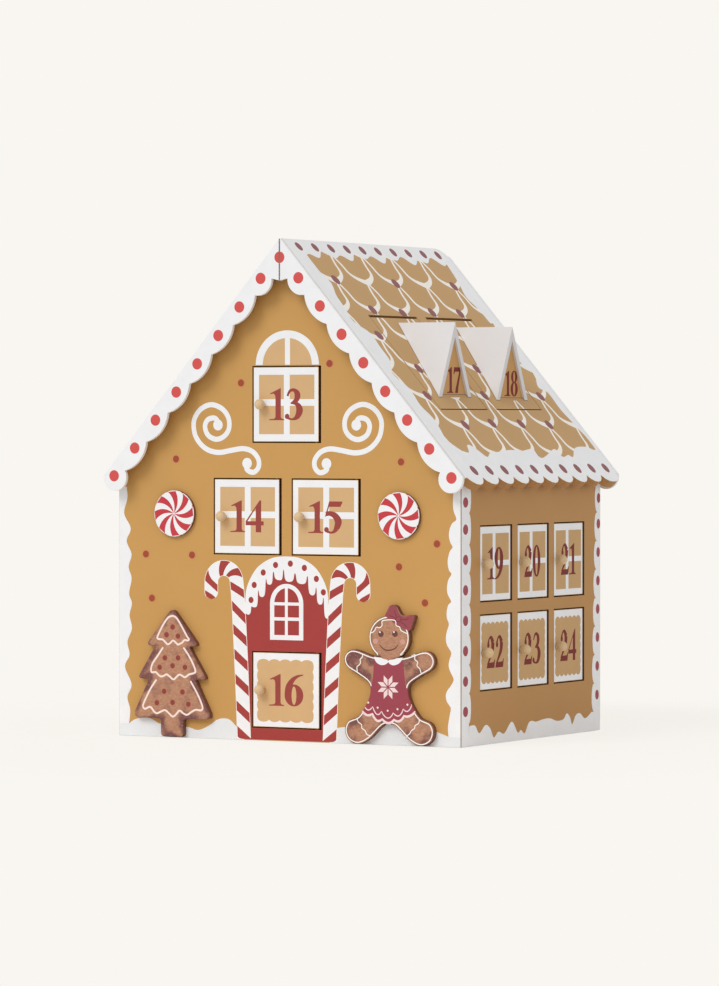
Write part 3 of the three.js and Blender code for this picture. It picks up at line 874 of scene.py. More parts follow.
for number, side in DOOR_SIDES.items():
    x0, x1, y0, y1 = leaf_rectangle(number)
    middle = ((x0 + x1) / 2, (y0 + y1) / 2)
    gable = side in ("front", "back")
    outline = rectangle(x0 + CLEAR, x1 - CLEAR, y0 + CLEAR, y1 - CLEAR)
    # the side doors take darker copies of the pane and numeral inks: painted shade for the side
    # walls' weaker light
    pane, ink = ("pane_tan", "numeral_red") if gable else ("pane_shaded", "numeral_dark")
    if number in PLAIN_DOORS:
        (left, right, low, high), lobes = GABLE_PANEL if gable else SIDE_PANEL
        field = panel(x0 + left, x1 - right, y0 + low, y1 - high, *lobes)
        layers = [("icing_white", outline), (pane, field)]
    else:
        layers = window_layers(x0, x1, y0, y1, *(GABLE_PANES if gable else SIDE_PANES), pane)
    narrow = 1.0 if gable else SIDE_NARROW
    layers += number_layers(number, *middle, narrow=narrow, ink=ink)
    name = f"print_door_{number}"
    print_film(name, side, layers, f"door_{number}", keep=[outline], level=-DOOR_SET_BACK)

# %% [markdown]
# ## Front wall
# White icing runs up both sides and along the foot. Scrolls, a fanlight, two canes and
# an arched red doorway are traditional gingerbread ornaments, each printed in two or
# three inks. Where an opening is, the film stops short of the cut edge.

# %% Ornaments of the gable walls
SCROLL = [
    (-64.8, 257.4), (-65.8, 261.5), (-69.3, 263.2), (-74.8, 261.5), (-77.2, 256.1),
    (-74.4, 249.2), (-66.9, 245.7), (-59.4, 247.9), (-54.5, 254), (-54.7, 262.9),
    (-60.5, 270.4), (-70.9, 274.1), (-81.2, 270.4), (-87.6, 261.5), (-87.1, 250.6),
    (-82, 242.4), (-74.1, 236.9), (-63.7, 234.9), (-51.9, 236.7), (-40.8, 238.1),
    (-32.1, 235.7), (-26.6, 229.6), (-26.3, 223.4), (-29.8, 219.3), (-33.7, 219.1),
    (-37.6, 221.4), (-37.2, 226.1),
]  # fmt: skip
scroll_line = curve(SCROLL, 4)
scroll = inked("icing_white", round_stroke(scroll_line, 4.3))
scroll += [("icing_white", oval(*scroll_line[i], 4.5)) for i in (0, -1)]

FAN_X, FAN_FOOT = 0.6, 306.4
fanlight = [("icing_white", arc(FAN_X, FAN_FOOT, 29.6, 28, 0, 180, 32))]
fanlight.append(("pane_tan", arc(FAN_X, FAN_FOOT, 23, 21.8, 0, 180, 28)))
fanlight.append(("icing_white", rectangle(-1.5, 3.2, FAN_FOOT, 330)))

SMALL_DOTS = [
    (-43, 291.8), (40, 307.2), (-105, 229.4), (105.8, 227.8), (-134.1, 150.7),
    (-89.7, 150.5), (-128.3, 114.4), (104, 143.5), (138.5, 162.4), (127.6, 115),
]  # fmt: skip
small_dots = [("halo_salmon", oval(x, y, 3.5)) for x, y in SMALL_DOTS]
small_dots += [("small_dot", oval(x, y, 2.9)) for x, y in SMALL_DOTS]

# %% [markdown]
# ### Icing borders
# The borders are wavy: lobes about 22 mm apart, as piped by hand.

# %% Icing borders
LEFT_BORDER = [
    (-152.8, 206.3), (-152, 196.6), (-155.2, 184.2), (-148.8, 171.8), (-152.8, 161.4),
    (-148, 150.4), (-150.9, 140), (-148, 130.4), (-150.4, 117.9), (-147.7, 109.7),
    (-150, 99.9), (-147.7, 88.9), (-152.1, 77.8), (-150, 66.8), (-154.5, 57),
    (-148.1, 42.6), (-152.1, 32.1), (-149.4, 21.2), (-150.5, 10.8),
]  # fmt: skip
RIGHT_BORDER = [
    (153.6, 207), (152.9, 196), (153.6, 188.8), (156, 182.2), (152.3, 179), (150.1, 174.6),
    (149.3, 169.2), (150.5, 163.9), (152.6, 159.8), (150.1, 156.4), (148.2, 149), (149.3, 141.7),
    (151.6, 138.5), (148.8, 133.7), (147.6, 127.5), (148.3, 122.2), (151.3, 116.5),
    (148.8, 113.8), (147.3, 108), (147.6, 103), (149.3, 98.2), (147.3, 92), (146.6, 86.2),
    (147.8, 81.3), (151.4, 75.5), (149.8, 69.8), (149.1, 65.4), (150.3, 61), (153.6, 54.4),
    (151.3, 49.4), (148.3, 45.8), (146.6, 41.8), (147.3, 36.9), (150.1, 33), (151.1, 30.8),
    (150.1, 25.4), (148.5, 16), (149, 8.6),
]  # fmt: skip
FOOT_LEFT = [
    (-150.5, 10.1), (-143.2, 14.2), (-130.3, 15.1), (-119, 10.3), (-94.9, 9),
    (-83.7, 6.6), (-72.6, 11.1), (-66.2, 15.4), (-59.9, 16.9), (-53.5, 15.8),
    (-45.9, 9.4), (-40, 6),
]  # fmt: skip
FOOT_MIDDLE = [(-41, 5), (-28, 8.5), (-12, 6.2), (6, 9), (24, 7.4), (41, 12)]  # on the back wall
FOOT_RIGHT = [(40, 11), (54, 13.3), (70, 14), (97, 17), (124, 14.5), (136, 12.5), (149.4, 8.3)]


def border_layers(half):
    """Side borders and foot, clipped at the wall's edges by the film's outline."""
    left = [*curve(LEFT_BORDER, 5), (-half, 0), (-half, 206)]
    right = [*curve(RIGHT_BORDER, 5), (half, 0), (half, 206)]
    foot_left = [*curve(FOOT_LEFT, 5), (-40, 0), (-half, 0), (-half, 10)]
    foot_right = [*curve(FOOT_RIGHT, 5), (half, 8), (half, 0), (40, 0)]
    return inked("icing_white", [left, right]) + inked("icing_snow", [foot_left, foot_right])


# %% [markdown]
# ### Canes and doorway
# A cane is a white band with slanting red stripes. A point of it is found by how far it
# lies along the cane, from the tip of the crook, and across it, so the stripes bend with
# the crook. Each stripe has its place along the cane, its length and its slant. They
# stand closer in the crook, and wider apart down the stem.

# %% Canes and doorway
CANE_HALF = 6.0
CROOK_X, CROOK_Y, CROOK_ACROSS, CROOK_HIGH = -59.2, 129.1, 12.0, 11.2
CANE_STEM = [(-46.1, 119.8), (-44.9, 101.8), (-43, 66.8), (-41.4, 32.9), (-40.2, 1.2)]
STRIPES = [
    (0.2, 8.4, 6), (13.6, 6.2, 9), (31.2, 6.4, 5.5), (42.7, 5.8, 6.4), (57.5, 7.1, 8),
    (76.1, 7.9, 12), (94.9, 8.2, 10.8), (115.2, 8.2, 10.6), (135.7, 8.1, 10.5),
    (157.5, 8.1, 10.5), (178.4, 8.9, 10),
]  # fmt: skip
cane_line = [(-71.4, 114.4), (-71.3, 121.8)]
cane_line += arc(CROOK_X, CROOK_Y, CROOK_ACROSS, CROOK_HIGH, 180, 0, 18)
cane_line += CANE_STEM
run = [0.0]
for (ax, ay), (bx, by) in zip(cane_line, cane_line[1:]):
    run.append(run[-1] + math.hypot(bx - ax, by - ay))


def cane_half(along):
    """Half the cane's width, which shrinks to nothing at its round tip."""
    if along < CANE_HALF:
        return math.sqrt(along * (2 * CANE_HALF - along))
    return CANE_HALF


def on_cane(along, across):
    """A point of the cane, across from -1 at its right edge to 1 at its left one."""
    along = min(max(along, 0.0), run[-1])
    i = next(i for i in range(1, len(run)) if run[i] >= along - 1e-9)
    t = (along - run[i - 1]) / max(run[i] - run[i - 1], 1e-9)
    half = across * cane_half(along)
    a = beside(cane_line, i - 1, half)
    b = beside(cane_line, i, half)
    return (a[0] + (b[0] - a[0]) * t, a[1] + (b[1] - a[1]) * t)


def cane_patch(ink, start, length, slant, reach, rows, columns):
    """A band over the cane whose left side lies further on than its right one."""
    layers = []
    for i in range(rows):
        for j in range(columns):
            quad = []
            for row, column in ((i, j), (i + 1, j), (i + 1, j + 1), (i, j + 1)):
                side = 2 * column / columns - 1
                along = start + length * row / rows + slant * side / 2
                quad.append(on_cane(along, side * reach))
            layers.append((ink, quad))
    return layers


cane = cane_patch("icing_cream", 0, run[-1], 0, 1.08, 100, 1)
cane += cane_patch("icing_white", 0, run[-1], 0, 1, 100, 1)
for middle, length, slant in STRIPES:
    cane += cane_patch("cane_red", middle - length / 2, length, slant, 1, 3, 6)
canes = cane + mirror_layers(cane)

ARCH = [(39, 112), (37.9, 123.2), (33.2, 133.7), (25.8, 142.6), (13.6, 149)]
arch_line = curve([*ARCH, (0, 150.5), *other_half(ARCH)], 5)
foot_round = arc(41.9, 5.2, 4.5, 4.5, -90, 0, 6)
arch = [*foot_round, (46, 20), (39, 100), *arch_line, (-39, 100), (-46, 20)]
arch += other_half(foot_round)
DRIPS = [
    (-36.5, 102.4), (-33, 109.3), (-29.3, 108.6), (-26.6, 122.6), (-22.8, 117), (-19.3, 132),
    (-15.7, 127.2), (-12.6, 138), (-6.2, 131), (-3, 139.8), (2.3, 129.8), (7.8, 137),
    (14.5, 128.2), (19.5, 135), (23.8, 119.2), (27.6, 125.8), (31.1, 111.8), (34.4, 117.6),
    (37.6, 100.5),
]  # fmt: skip
DRIP_SIDE = [
    (0, 0), (0.08, 0.06), (0.14, 0.22), (0.18, 0.45), (0.24, 0.68), (0.4, 0.88), (0.68, 0.97),
]  # fmt: skip
RISING_SIDE = [(0, 0), *[(1 - a, 1 - b) for a, b in reversed(DRIP_SIDE[1:])]]


def drip_line(points):
    """Narrow notches and round tips take turns. A side runs from a notch to a tip."""
    line = []
    for (x0, y0), (x1, y1) in zip(points, points[1:]):
        side = DRIP_SIDE if y0 > y1 else RISING_SIDE
        line += [(x0 + (x1 - x0) * a, y0 + (y1 - y0) * b) for a, b in side]
    return [*line, points[-1]]


CAP_DOTS = [
    (-33.5, 114.5), (-30.5, 126.8), (-22, 137.1), (-10.4, 143.4), (3.5, 144.7),
    (16.6, 141.4), (27.8, 132.7), (34.3, 121.9),
]  # fmt: skip
doorway = [("door_red", arch)]
doorway.append(("icing_white", [(-39.2, 103.6), *drip_line(DRIPS), (39.2, 101.6), *arch_line]))
doorway += [("door_red", oval(x, y, 2.4, 2.6)) for x, y in CAP_DOTS]
window_arch = arc(0, 112, 15.6, 16.2, 0, 180, 24)
doorway.append(("icing_white", [(-15.6, 82.4), (15.6, 82.4), *window_arch]))
glass_arch = arc(0, 112, 11.6, 12.7, 0, 180, 24)
doorway.append(("door_red", [(-11.6, 86.4), (11.6, 86.4), *glass_arch]))
for bar in ((-1.6, 1.1, 86, 125), (-12, 12, 98.2, 100.9), (-12, 12, 110.6, 113.1)):
    doorway.append(("icing_white", rectangle(*bar)))

# %% [markdown]
# ### The two gable films
# The front wall carries everything. The back wall can't be seen in the picture, so it
# gets the plainer half of the same set: borders, fanlight, scrolls and dots.


# %% Gable films
def opening(x, y, width, height):
    """The knife that clears a film from an opening, whose middle is x and whose foot is y."""
    half = width / 2 + OPENING_CLEAR
    return rectangle(x - half, x + half, y - OPENING_CLEAR, y + height + OPENING_CLEAR)


OPENING_HIGH, OPENING_WIDE, DOORWAY_WIDE = 62.8, 64.3, 65.2
WINDOW_PLACES = ((0, 242.81), (-36.8, 151.31), (36.8, 151.31))
GABLE_OPENINGS = [opening(x, y, OPENING_WIDE, OPENING_HIGH) for x, y in WINDOW_PLACES]
GABLE_OPENINGS.append(opening(0, 10.1, DOORWAY_WIDE, OPENING_HIGH))
FILM_FOOT = 0.1  # the films end this far above the table
SIDE_SHEET = 5.3  # a side wall with its glue line, whose end covers the back wall's


def gable_outline(half):
    """The outline of a gable that reaches this far to both sides."""
    shoulder = RIDGE - (ROOF_SHEET + CLEAR) / COS - half * SIN / COS
    apex = RIDGE - (ROOF_SHEET + CLEAR) / COS
    feet = [(-half, FILM_FOOT), (half, FILM_FOOT)]
    return [*feet, (half, shoulder), (0, apex), (-half, shoulder)]


scrolls = scroll + mirror_layers(scroll)
common = fanlight + small_dots + scrolls
front_layers = border_layers(HALF_WIDTH) + common + doorway + canes
CORNER_CLEAR = 0.15  # from the edge where two walls meet
front_outline = gable_outline(HALF_WIDTH - CORNER_CLEAR)
print_film("print_front_wall", "front", front_layers, "house", [front_outline], GABLE_OPENINGS)
back_outline = gable_outline(HALF_WIDTH - SIDE_SHEET - CLEAR)
foot_middle = [*curve(FOOT_MIDDLE, 5), (41, 0), (-41, 0)]
back_layers = border_layers(HALF_WIDTH) + common + inked("icing_snow", [foot_middle])
print_film("print_back_wall", "back", back_layers, "house", [back_outline], GABLE_OPENINGS)

# %% [markdown]
# ## Side walls
# Each has a white strip with plum dots at both ends and icing along the foot. The strip
# at the front runs over the end of the front wall, as the wrap of paint does there.

# %% Side films
CORNER_SHADE = 0.9  # painted shade: a dark line along the edge where two walls meet
FRONT_CUSPS = [211, 186.9, 161.5, 138.8, 113.5, 89.4, 65.4, 42.7, 18.6]
FRONT_DOT_HEIGHTS = [195.6, 173.9, 149.7, 125.4, 101, 76.8, 52.4, 28.2]
FRONT_EDGE, FRONT_SAG = -111.5, 3.6  # the front strip's wavy edge, and how far its lobes reach
REAR_TOP, REAR_PITCH, REAR_SAG = 208, 24, 4.4
REAR_DOT_HEIGHTS = [195.8, 174.2, 150.3, 126.3, 102.4, 78.6, 54.4, 30.2]
SIDE_FOOT = [
    (-109.3, 16.6), (-100.7, 16.2), (-93.5, 9.7), (-82.7, 15.8), (-74.5, 12.7),
    (-68.1, 4.9), (-59.9, 9.2), (-49.5, 7.2), (-36.2, 16), (-25.8, 6.6), (-19.8, 8.3),
    (-13.2, 5.2), (-6.2, 13), (-0.2, 14.7), (7.4, 13.6), (21, 14.9), (33.3, 14.9),
    (45.6, 12.2), (58, 12.9), (64.2, 17.4), (70.4, 13.6), (74.2, 7.8), (81.3, 15.1),
    (89.2, 16.1), (98.6, 11.4), (111.3, 16.3),
]  # fmt: skip


def side_layers():
    """The borders at the front and the rear end of a side wall."""
    front = [(FRONT_EDGE, FRONT_CUSPS[0])]
    for high, low in zip(FRONT_CUSPS, FRONT_CUSPS[1:]):
        lobe = arc(FRONT_EDGE, (high + low) / 2, FRONT_SAG, (high - low) / 2, 90, -90, 8)
        front += lobe[1:]
    strips = [[*front, (-111, 0), (-SIDE_FRONT, 0), (-SIDE_FRONT, FRONT_CUSPS[0])]]
    rear = [(121.7 - 6 * i / 7, REAR_TOP - REAR_PITCH * i) for i in range(9)]
    line = [rear[0]]
    for (ax, ay), (bx, by) in zip(rear, rear[1:]):
        lobe = arc((ax + bx) / 2, (ay + by) / 2, REAR_SAG, (ay - by) / 2, 90, 270, 8)
        line += lobe[1:]
    strips.append([*line, (115, 0), (SIDE_REAR, 0), (SIDE_REAR, REAR_TOP)])
    layers = inked("icing_white", strips)
    foot = [*curve(SIDE_FOOT, 5), (115, 16), (115, 0), (-111, 0), (-111, 16)]
    layers += inked("icing_white", [foot])
    layers += [("strip_plum", oval(-117.3, y, 4.4, 4.2)) for y in FRONT_DOT_HEIGHTS]
    for i, y in enumerate(REAR_DOT_HEIGHTS):
        layers.append(("strip_plum", oval(123.9 - 0.4 * i, y, 3.4, 4.2)))
    # painted shade in the corner seam, as a dark strip along the wall's front edge
    seam = rectangle(-SIDE_FRONT, -SIDE_FRONT + CORNER_SHADE, 0, WALL_HEIGHT)
    return [*layers, ("corner_shade", seam)]


SIDE_MIDDLE, SIDE_PITCH = 2.4, 66.2  # the middle column of doors, and the next one's distance
SIDE_DOOR_FEET = (114.81, 43.11)
SIDE_OPENING = (56.7, 62)
side_outline = rectangle(
    -SIDE_FRONT + CORNER_CLEAR, SIDE_REAR - CLEAR, FILM_FOOT, WALL_HEIGHT - 1
)  # fmt: skip
openings = [
    opening(SIDE_MIDDLE + column * SIDE_PITCH, y, *SIDE_OPENING)
    for column in (-1, 0, 1)
    for y in SIDE_DOOR_FEET
]
print_film("print_right_wall", "right", side_layers(), "house", [side_outline], openings)
flipped = [moved(shape, sx=-1) for shape in openings]
left_outline = moved(side_outline, sx=-1)
left_layers = mirror_layers(side_layers())
print_film("print_left_wall", "left", left_layers, "house", [left_outline], flipped)

# %% [markdown]
# ## Roof
# The roof is printed with fish scales: rows of U shapes, each row shifted by half a
# scale, drawn in cream that thickens to the foot of every U, with plum dots there.
# White bands with their own dots frame it. The lines run on over the hatch lids, so
# the same drawing is cut into three films: the panel and its two lids.

# %% Roof drawing
SCALE_ACROSS, SCALE_HIGH = 51.5, 31.3
SCALE_HALF = [(25.75, 31.3, 2.6), (21, 19, 2.8), (19, 9, 3.4), (12, 3, 4.6), (0, -1.5, 6.4)]
FIRST_ROW = 44.5
ROW_STARTS = (-103, -77.3)  # rows take turns
ROOF_DOTS = [
    (-102.5, 44), (-1.1, 44.9), (103.2, 44.4), (-78.4, 76.2), (-29.1, 78.6), (24.7, 76.3),
    (75.3, 76.1), (-101.3, 104.4), (-76.8, 140), (26.4, 139.1), (105.3, 169.1),
    (-98.2, 169.3), (3.2, 168.7), (-71.5, 200.8), (-21.7, 199.1), (29.8, 199.8), (80, 200.9),
]  # fmt: skip
FRONT_STRIP = [
    (-119.5, 12), (-119.2, 36), (-114.8, 47.9), (-122, 61.2), (-123.6, 71), (-127.1, 89.5),
    (-113.7, 102.1), (-114.9, 117.2), (-116.2, 132.3), (-128.5, 145.4), (-120.1, 163.5),
    (-122.6, 179.5), (-118.7, 190.1), (-117.6, 197.6), (-119.9, 205), (-122, 217.7),
    (-106.2, 232.7),
]  # fmt: skip
REAR_STRIP = [
    (124, 12), (118.1, 38.8), (111.1, 56.2), (116.6, 70.9), (118.3, 85.7), (123.8, 90.1),
    (117.4, 134.5), (128, 142.3), (114.9, 158.3), (125, 165), (124.1, 183),
    (126.9, 195.3), (132.1, 214.4), (131.9, 229),
]  # fmt: skip
EAVE_BAND = [
    (-142, 236), (-106.2, 232.7), (-94, 222), (-84.5, 226.4), (-76.1, 235), (-65.5, 230.9),
    (-50.1, 229.9), (-26.2, 227.9), (-6.2, 229.1), (14.6, 227.1), (15.7, 234.7),
    (20.1, 236.9), (30.2, 234.8), (54.8, 227.4), (57.2, 234), (61.7, 236.2), (72, 234.1),
    (78.4, 236.3), (95.2, 226.5), (117.4, 225.5), (128.1, 228.9), (142, 226),
]  # fmt: skip
BAND_DOTS = 10
SHEET_HALF, STRIP_END, ROOF_END = 143, 245, 265  # the drawing reaches past the panel's edges


def roof_layers():
    """The drawing on the right roof: x is world y, and y runs up the slope."""
    layers = []
    for row in range(-1, 7):
        foot = FIRST_ROW + SCALE_HIGH * row
        first = ROW_STARTS[row % 2]
        for k in range(-1, 6):
            middle = first + SCALE_ACROSS * k
            for sign in (1, -1):
                half = [(middle + sign * x, y - foot, w) for x, y, w in SCALE_HALF]
                layers += inked("icing_cream", stroke(curve(half, 5)))
            layers.append(("icing_cream", oval(middle, -foot - 1, 3.4, 3.2, 12)))
    ridge = []
    for i in range(96):
        x = 3 * i - SHEET_HALF
        # two waves of unlike length, so that the drips differ
        wave = 3.0 * math.sin(x / 4.3) + 2.2 * math.sin(x / 9.7 + 1)
        ridge.append((x, -17 - wave))
    layers += inked("icing_white", [[*ridge, (SHEET_HALF, 1), (-SHEET_HALF, 1)]])
    front, rear, eave = (
        curve([(x, -u) for x, u in strip], 5) for strip in (FRONT_STRIP, REAR_STRIP, EAVE_BAND)
    )
    for strip, sign in ((front, -1), (rear, 1)):
        edge = sign * SHEET_HALF
        layers.append(
            ("icing_white", [*strip, (strip[-1][0], -STRIP_END), (edge, -STRIP_END), (edge, -10)])
        )
    layers.append(("icing_white", [*eave, (SHEET_HALF, -ROOF_END), (-SHEET_HALF, -ROOF_END)]))
    layers += [("roof_plum", oval(x, -u, 5.2, 5.0)) for x, u in ROOF_DOTS]
    for k in range(BAND_DOTS):
        layers.append(("roof_plum", oval(-122.2 + 26.8 * k, -8.3, 4.4, 4.6)))
        layers.append(("roof_plum", oval(-116.5 + 26.6 * k, -249, 4.6, 5)))
    return layers


# %% [markdown]
# The eave is a row of scallops. The film has to follow them, so their outline is worked
# out again here from the same sizes as the panel's.

# %% Roof outline
ROOF_SLOPE, EAVE_PITCH, EAVE_DEPTH, LAST_LOBE = 264.2, 26.8, 7.4, 33.4
PANEL_FRONT, PANEL_REAR = (corner[1] / MM - ROOF_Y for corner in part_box("roof_panel_right"))
ROOF_CORNER = 13


def lobe_points(a, b, height, steps):
    """The points after a of an arc to b that stands out on the right of its way."""
    ax, ay = a
    bx, by = b
    half = math.hypot(bx - ax, by - ay) / 2
    radius = (half * half + height * height) / (2 * height)
    ux, uy = (bx - ax) / (2 * half), (by - ay) / (2 * half)
    cx, cy = (ax + bx) / 2 + uy * (height - radius), (ay + by) / 2 - ux * (height - radius)
    spread = 2 * math.asin(min(1.0, half / radius))
    points = []
    for i in range(1, steps + 1):
        t = spread * i / steps
        dx, dy = ax - cx, ay - cy
        x = cx + dx * math.cos(t) - dy * math.sin(t)
        points.append((x, cy + dx * math.sin(t) + dy * math.cos(t)))
    return points


def roof_outline():
    """The outline of a roof panel's print, with the lobes of its eave."""
    valley = EAVE_DEPTH - ROOF_SLOPE
    last = PANEL_REAR - LAST_LOBE
    lobes = math.ceil((last - PANEL_FRONT) / EAVE_PITCH)
    edge = []
    for i in range(lobes, -1, -1):
        a = (last - i * EAVE_PITCH, valley)
        lobe = lobe_points(a, (a[0] + EAVE_PITCH, valley), EAVE_DEPTH, 6)
        edge += [a, *(lobe if i > 0 else lobe[:3])]
    front = PANEL_FRONT + CLEAR
    edge = [(x, y + CLEAR) for x, y in edge if x > front]
    middle, radius = PANEL_REAR - ROOF_CORNER, ROOF_CORNER - CLEAR
    eave_end = arc(middle, ROOF_CORNER - ROOF_SLOPE, radius, radius, -90, 0, 5)
    ridge_end = arc(middle, -ROOF_CORNER, radius, radius, 0, 90, 5)
    return [(front, -CLEAR), (front, edge[0][1]), *edge, *eave_end, *ridge_end]


HATCH_HALF, HATCH_FOOT, HATCH_TOP = 41.5, -184.4, -82  # the opening, down from the ridge


def hatch_rectangle(middle, grow):
    """A hatch's opening, grown on all sides."""
    half = HATCH_HALF + grow
    return rectangle(middle - half, middle + half, HATCH_FOOT - grow, HATCH_TOP + grow)


def middle_of(name):
    """The middle of a node along the house, in the roof drawings' millimetres."""
    low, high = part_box(name)
    return (low[1] + high[1]) / 2 / MM - ROOF_Y


HATCH_PLACES = {"right": (17, 18), "left": (6, 5)}
sheet = roof_layers()
for side, numbers in HATCH_PLACES.items():
    rear = 1 if side == "right" else -1
    layers = sheet if rear > 0 else mirror_layers(sheet)
    outline = moved(roof_outline(), sx=rear)
    middles = [rear * middle_of(f"hatch_{number}") for number in numbers]
    cut = [hatch_rectangle(middle, CLEAR) for middle in middles]
    print_film(f"print_roof_{side}", f"roof_{side}", layers, "house", [outline], cut)
    for number, middle in zip(numbers, middles):
        half = LID_HALF - CLEAR
        lid = rectangle(middle - half, middle + half, LID_FOOT + CLEAR, LID_TOP - CLEAR)
        tip = DORMER_TIPS[number]
        foot = tip - DORMER_RIDGE / COS
        dormer = [(middle, tip), (middle - DORMER_HALF, foot), (middle + DORMER_HALF, foot)]
        body = f"hatch_{number}"
        print_film(f"print_lid_{number}", f"roof_{side}", layers, body, [lid], [dormer])

# %% [markdown]
# ## Dormer fronts
# The number stands on the gold block between the plates, which is narrow at the top,
# so its digits are smaller and drawn narrower.

# %% Dormer numbers
NUMBER_RIGHT, NUMBER_RISE = 1.5, 1.4  # off the block's middle, and above its foot
DORMER_NUMBER_HIGH = 21.0
for number, side in HATCH_SIDES.items():
    sign = 1 if side == "right" else -1
    face = plates_end(number) - DORMER_RECESS
    x = sign * (middle_of(f"hatch_{number}") + ROOF_Y - SIDE_Y) + NUMBER_RIGHT
    y = RIDGE - face * SIN / COS + NUMBER_RISE + DORMER_NUMBER_HIGH / 2
    layers = number_layers(number, x, y, DORMER_NUMBER_HIGH, 0.95, "numeral_dark")
    print_film(
        f"print_dormer_{number}", side, layers, f"hatch_{number}", level=face - HALF_WIDTH
    )

# %% [markdown]
# ## Barge boards
# The gable edges are closed by 3 mm boards with lobes, white with a red dot on each.
# Their print runs from edge to edge, so each board is made here as one slab whose top
# already holds the dots. They follow the CAD sizes with finer arcs, and replace its boards.

# %% Barge boards
BURNT_EDGE = "#7a4f3d"
laser_edge, tree, place, _ = new_material("laser_cut_edge")
fibre = fibres(tree, place).outputs[0]
burnt = add(
    tree, "Mix", {0: fibre, 6: shade(BURNT_EDGE, 0.75), 7: shade(BURNT_EDGE, 1.2)}, data_type="RGBA"
).outputs[2]
finish_surface(tree, burnt, fibre, 0.06, 0.75, 0.25)
INKS["laser_edge"] = laser_edge

BARGE_SHEET = 3.0
BARGE_RIM = 0.2
BARGE_END, BARGE_END_DEPTH, BARGE_END_RADIUS = 250.0, 9.5, 11.0
BARGE_FIRST, BARGE_SECOND, BARGE_LAST = (29.5, 16.0), 50.0, 239.6
BARGE_DEPTH, BARGE_SAG = 13, 5  # from the roof's edge to the cusps, and on to the lobes' ends
DOT_FIRST, DOT_PITCH, DOT_DEEP, DOT_RADIUS = 36.1, 30.5, 8, 4.7
TIP_DOT_DROP, NOTCH_DROP, SEAM_LONG, APEX_RADIUS = 15.6, 34.5, 40, 10
FRONT_OVERHANG, REAR_OVERHANG = 11.8, 20.3
BOARD_SEAM = 0.15
SEAM_SHADE = 0.5  # painted shade in the seam: a grey strip on each board beside it


def on_barge(along, deep):
    """A point so far down the roof's edge from the apex, and so deep below it."""
    return (along * COS - deep * SIN, RIDGE - along * SIN - deep * COS)


def barge_edge():
    """The lobed edge of a barge board, from the eave up to the apex."""
    start = math.atan2(-BARGE_END_DEPTH, math.sqrt(BARGE_END_RADIUS**2 - BARGE_END_DEPTH**2))
    end = math.atan2(BARGE_DEPTH - BARGE_END_DEPTH, BARGE_LAST - BARGE_END)
    edge = arc(
        BARGE_END, BARGE_END_DEPTH, BARGE_END_RADIUS, BARGE_END_RADIUS,
        math.degrees(start), math.degrees(end), 20,
    )  # fmt: skip
    pitch = (BARGE_LAST - BARGE_SECOND) / 6
    for i in range(5, -1, -1):
        edge += lobe_points(edge[-1], (BARGE_SECOND + i * pitch, BARGE_DEPTH), BARGE_SAG, 14)
    edge += lobe_points(edge[-1], BARGE_FIRST, BARGE_SAG, 12)
    return [on_barge(*point) for point in edge]


def shrunk(shape, by):
    """The outline moved inwards by a small distance."""
    if signed_area(shape) < 0:
        shape = shape[::-1]
    result = []
    for i, (x, y) in enumerate(shape):
        px, py = shape[i - 1]
        nx, ny = shape[(i + 1) % len(shape)]
        a = Vector((py - y, x - px)).normalized()
        b = Vector((y - ny, nx - x)).normalized()
        both = a + b
        scale = by * 2 / max(both.length_squared, 0.8)
        result.append((x + both.x * scale, y + both.y * scale))
    return result


barge_dots = [
    ("dot_red", oval(*on_barge(DOT_FIRST + DOT_PITCH * k, DOT_DEEP), DOT_RADIUS)) for k in range(8)
]
tip_dot = oval(0, RIDGE - TIP_DOT_DROP, DOT_RADIUS, steps=32)
half_board = [
    *barge_edge(),
    (BOARD_SEAM, RIDGE - NOTCH_DROP),
    (BOARD_SEAM, RIDGE - BOARD_SEAM * SIN / COS),
]
for side, sign in (("right", 1), ("left", -1)):
    outline = shrunk(moved(half_board, sx=sign), BARGE_RIM)
    dots = [("dot_red", tip_dot)] + [(ink, moved(dot, sx=sign)) for ink, dot in barge_dots]
    # painted shade along the seam between the two boards
    seam = rectangle(0, BOARD_SEAM + SEAM_SHADE, RIDGE - SEAM_LONG, RIDGE)
    layers = [("icing_white", outline), *dots, ("seam_grey", moved(seam, sx=sign))]
    drawing = flatten(layers, keep=[outline])
    low = FRONT_OVERHANG - BARGE_SHEET
    piece = slab(
        f"barge_front_{side}", "front", drawing, low, FRONT_OVERHANG, "house",
        "icing_white", BARGE_RIM,
    )  # fmt: skip
    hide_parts(f"barge_board_front_{side}")

apex_centre = RIDGE - APEX_RADIUS / COS
apex = arc(0, apex_centre, APEX_RADIUS, APEX_RADIUS, 41, 90, 8)
rear_half = [*barge_edge(), (0, RIDGE - NOTCH_DROP)]
rear_board = [*rear_half, *other_half(barge_edge()), *moved(apex, sx=-1), *reversed(apex[:-1])]
outline = shrunk(rear_board, BARGE_RIM)
both = barge_dots + mirror_layers(barge_dots) + [("dot_red", tip_dot)]
drawing = flatten([("icing_white", outline), *both], keep=[outline])
piece = slab(
    "barge_rear", "back", drawing, REAR_OVERHANG - BARGE_SHEET, REAR_OVERHANG, "house",
    "icing_white", BARGE_RIM,
)  # fmt: skip
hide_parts("barge_board_rear")

# %% [markdown]
# ## Peppermint sweets
# Two discs 38 mm across with eight swirled red stripes on white.

# %% Peppermint discs
SWEET_X, SWEET_Y, SWEET_RADIUS, SWEET_SHEET, SWEET_RIM = 105.1, 184.51, 19.0, 3.0, 0.4
SWEET_CORE, SWIRL, STRIPE_WIDE, STRIPE_FIRST = 0.6, 28, 22.5, 12  # the last three in degrees
GLUE_LINE = 0.3


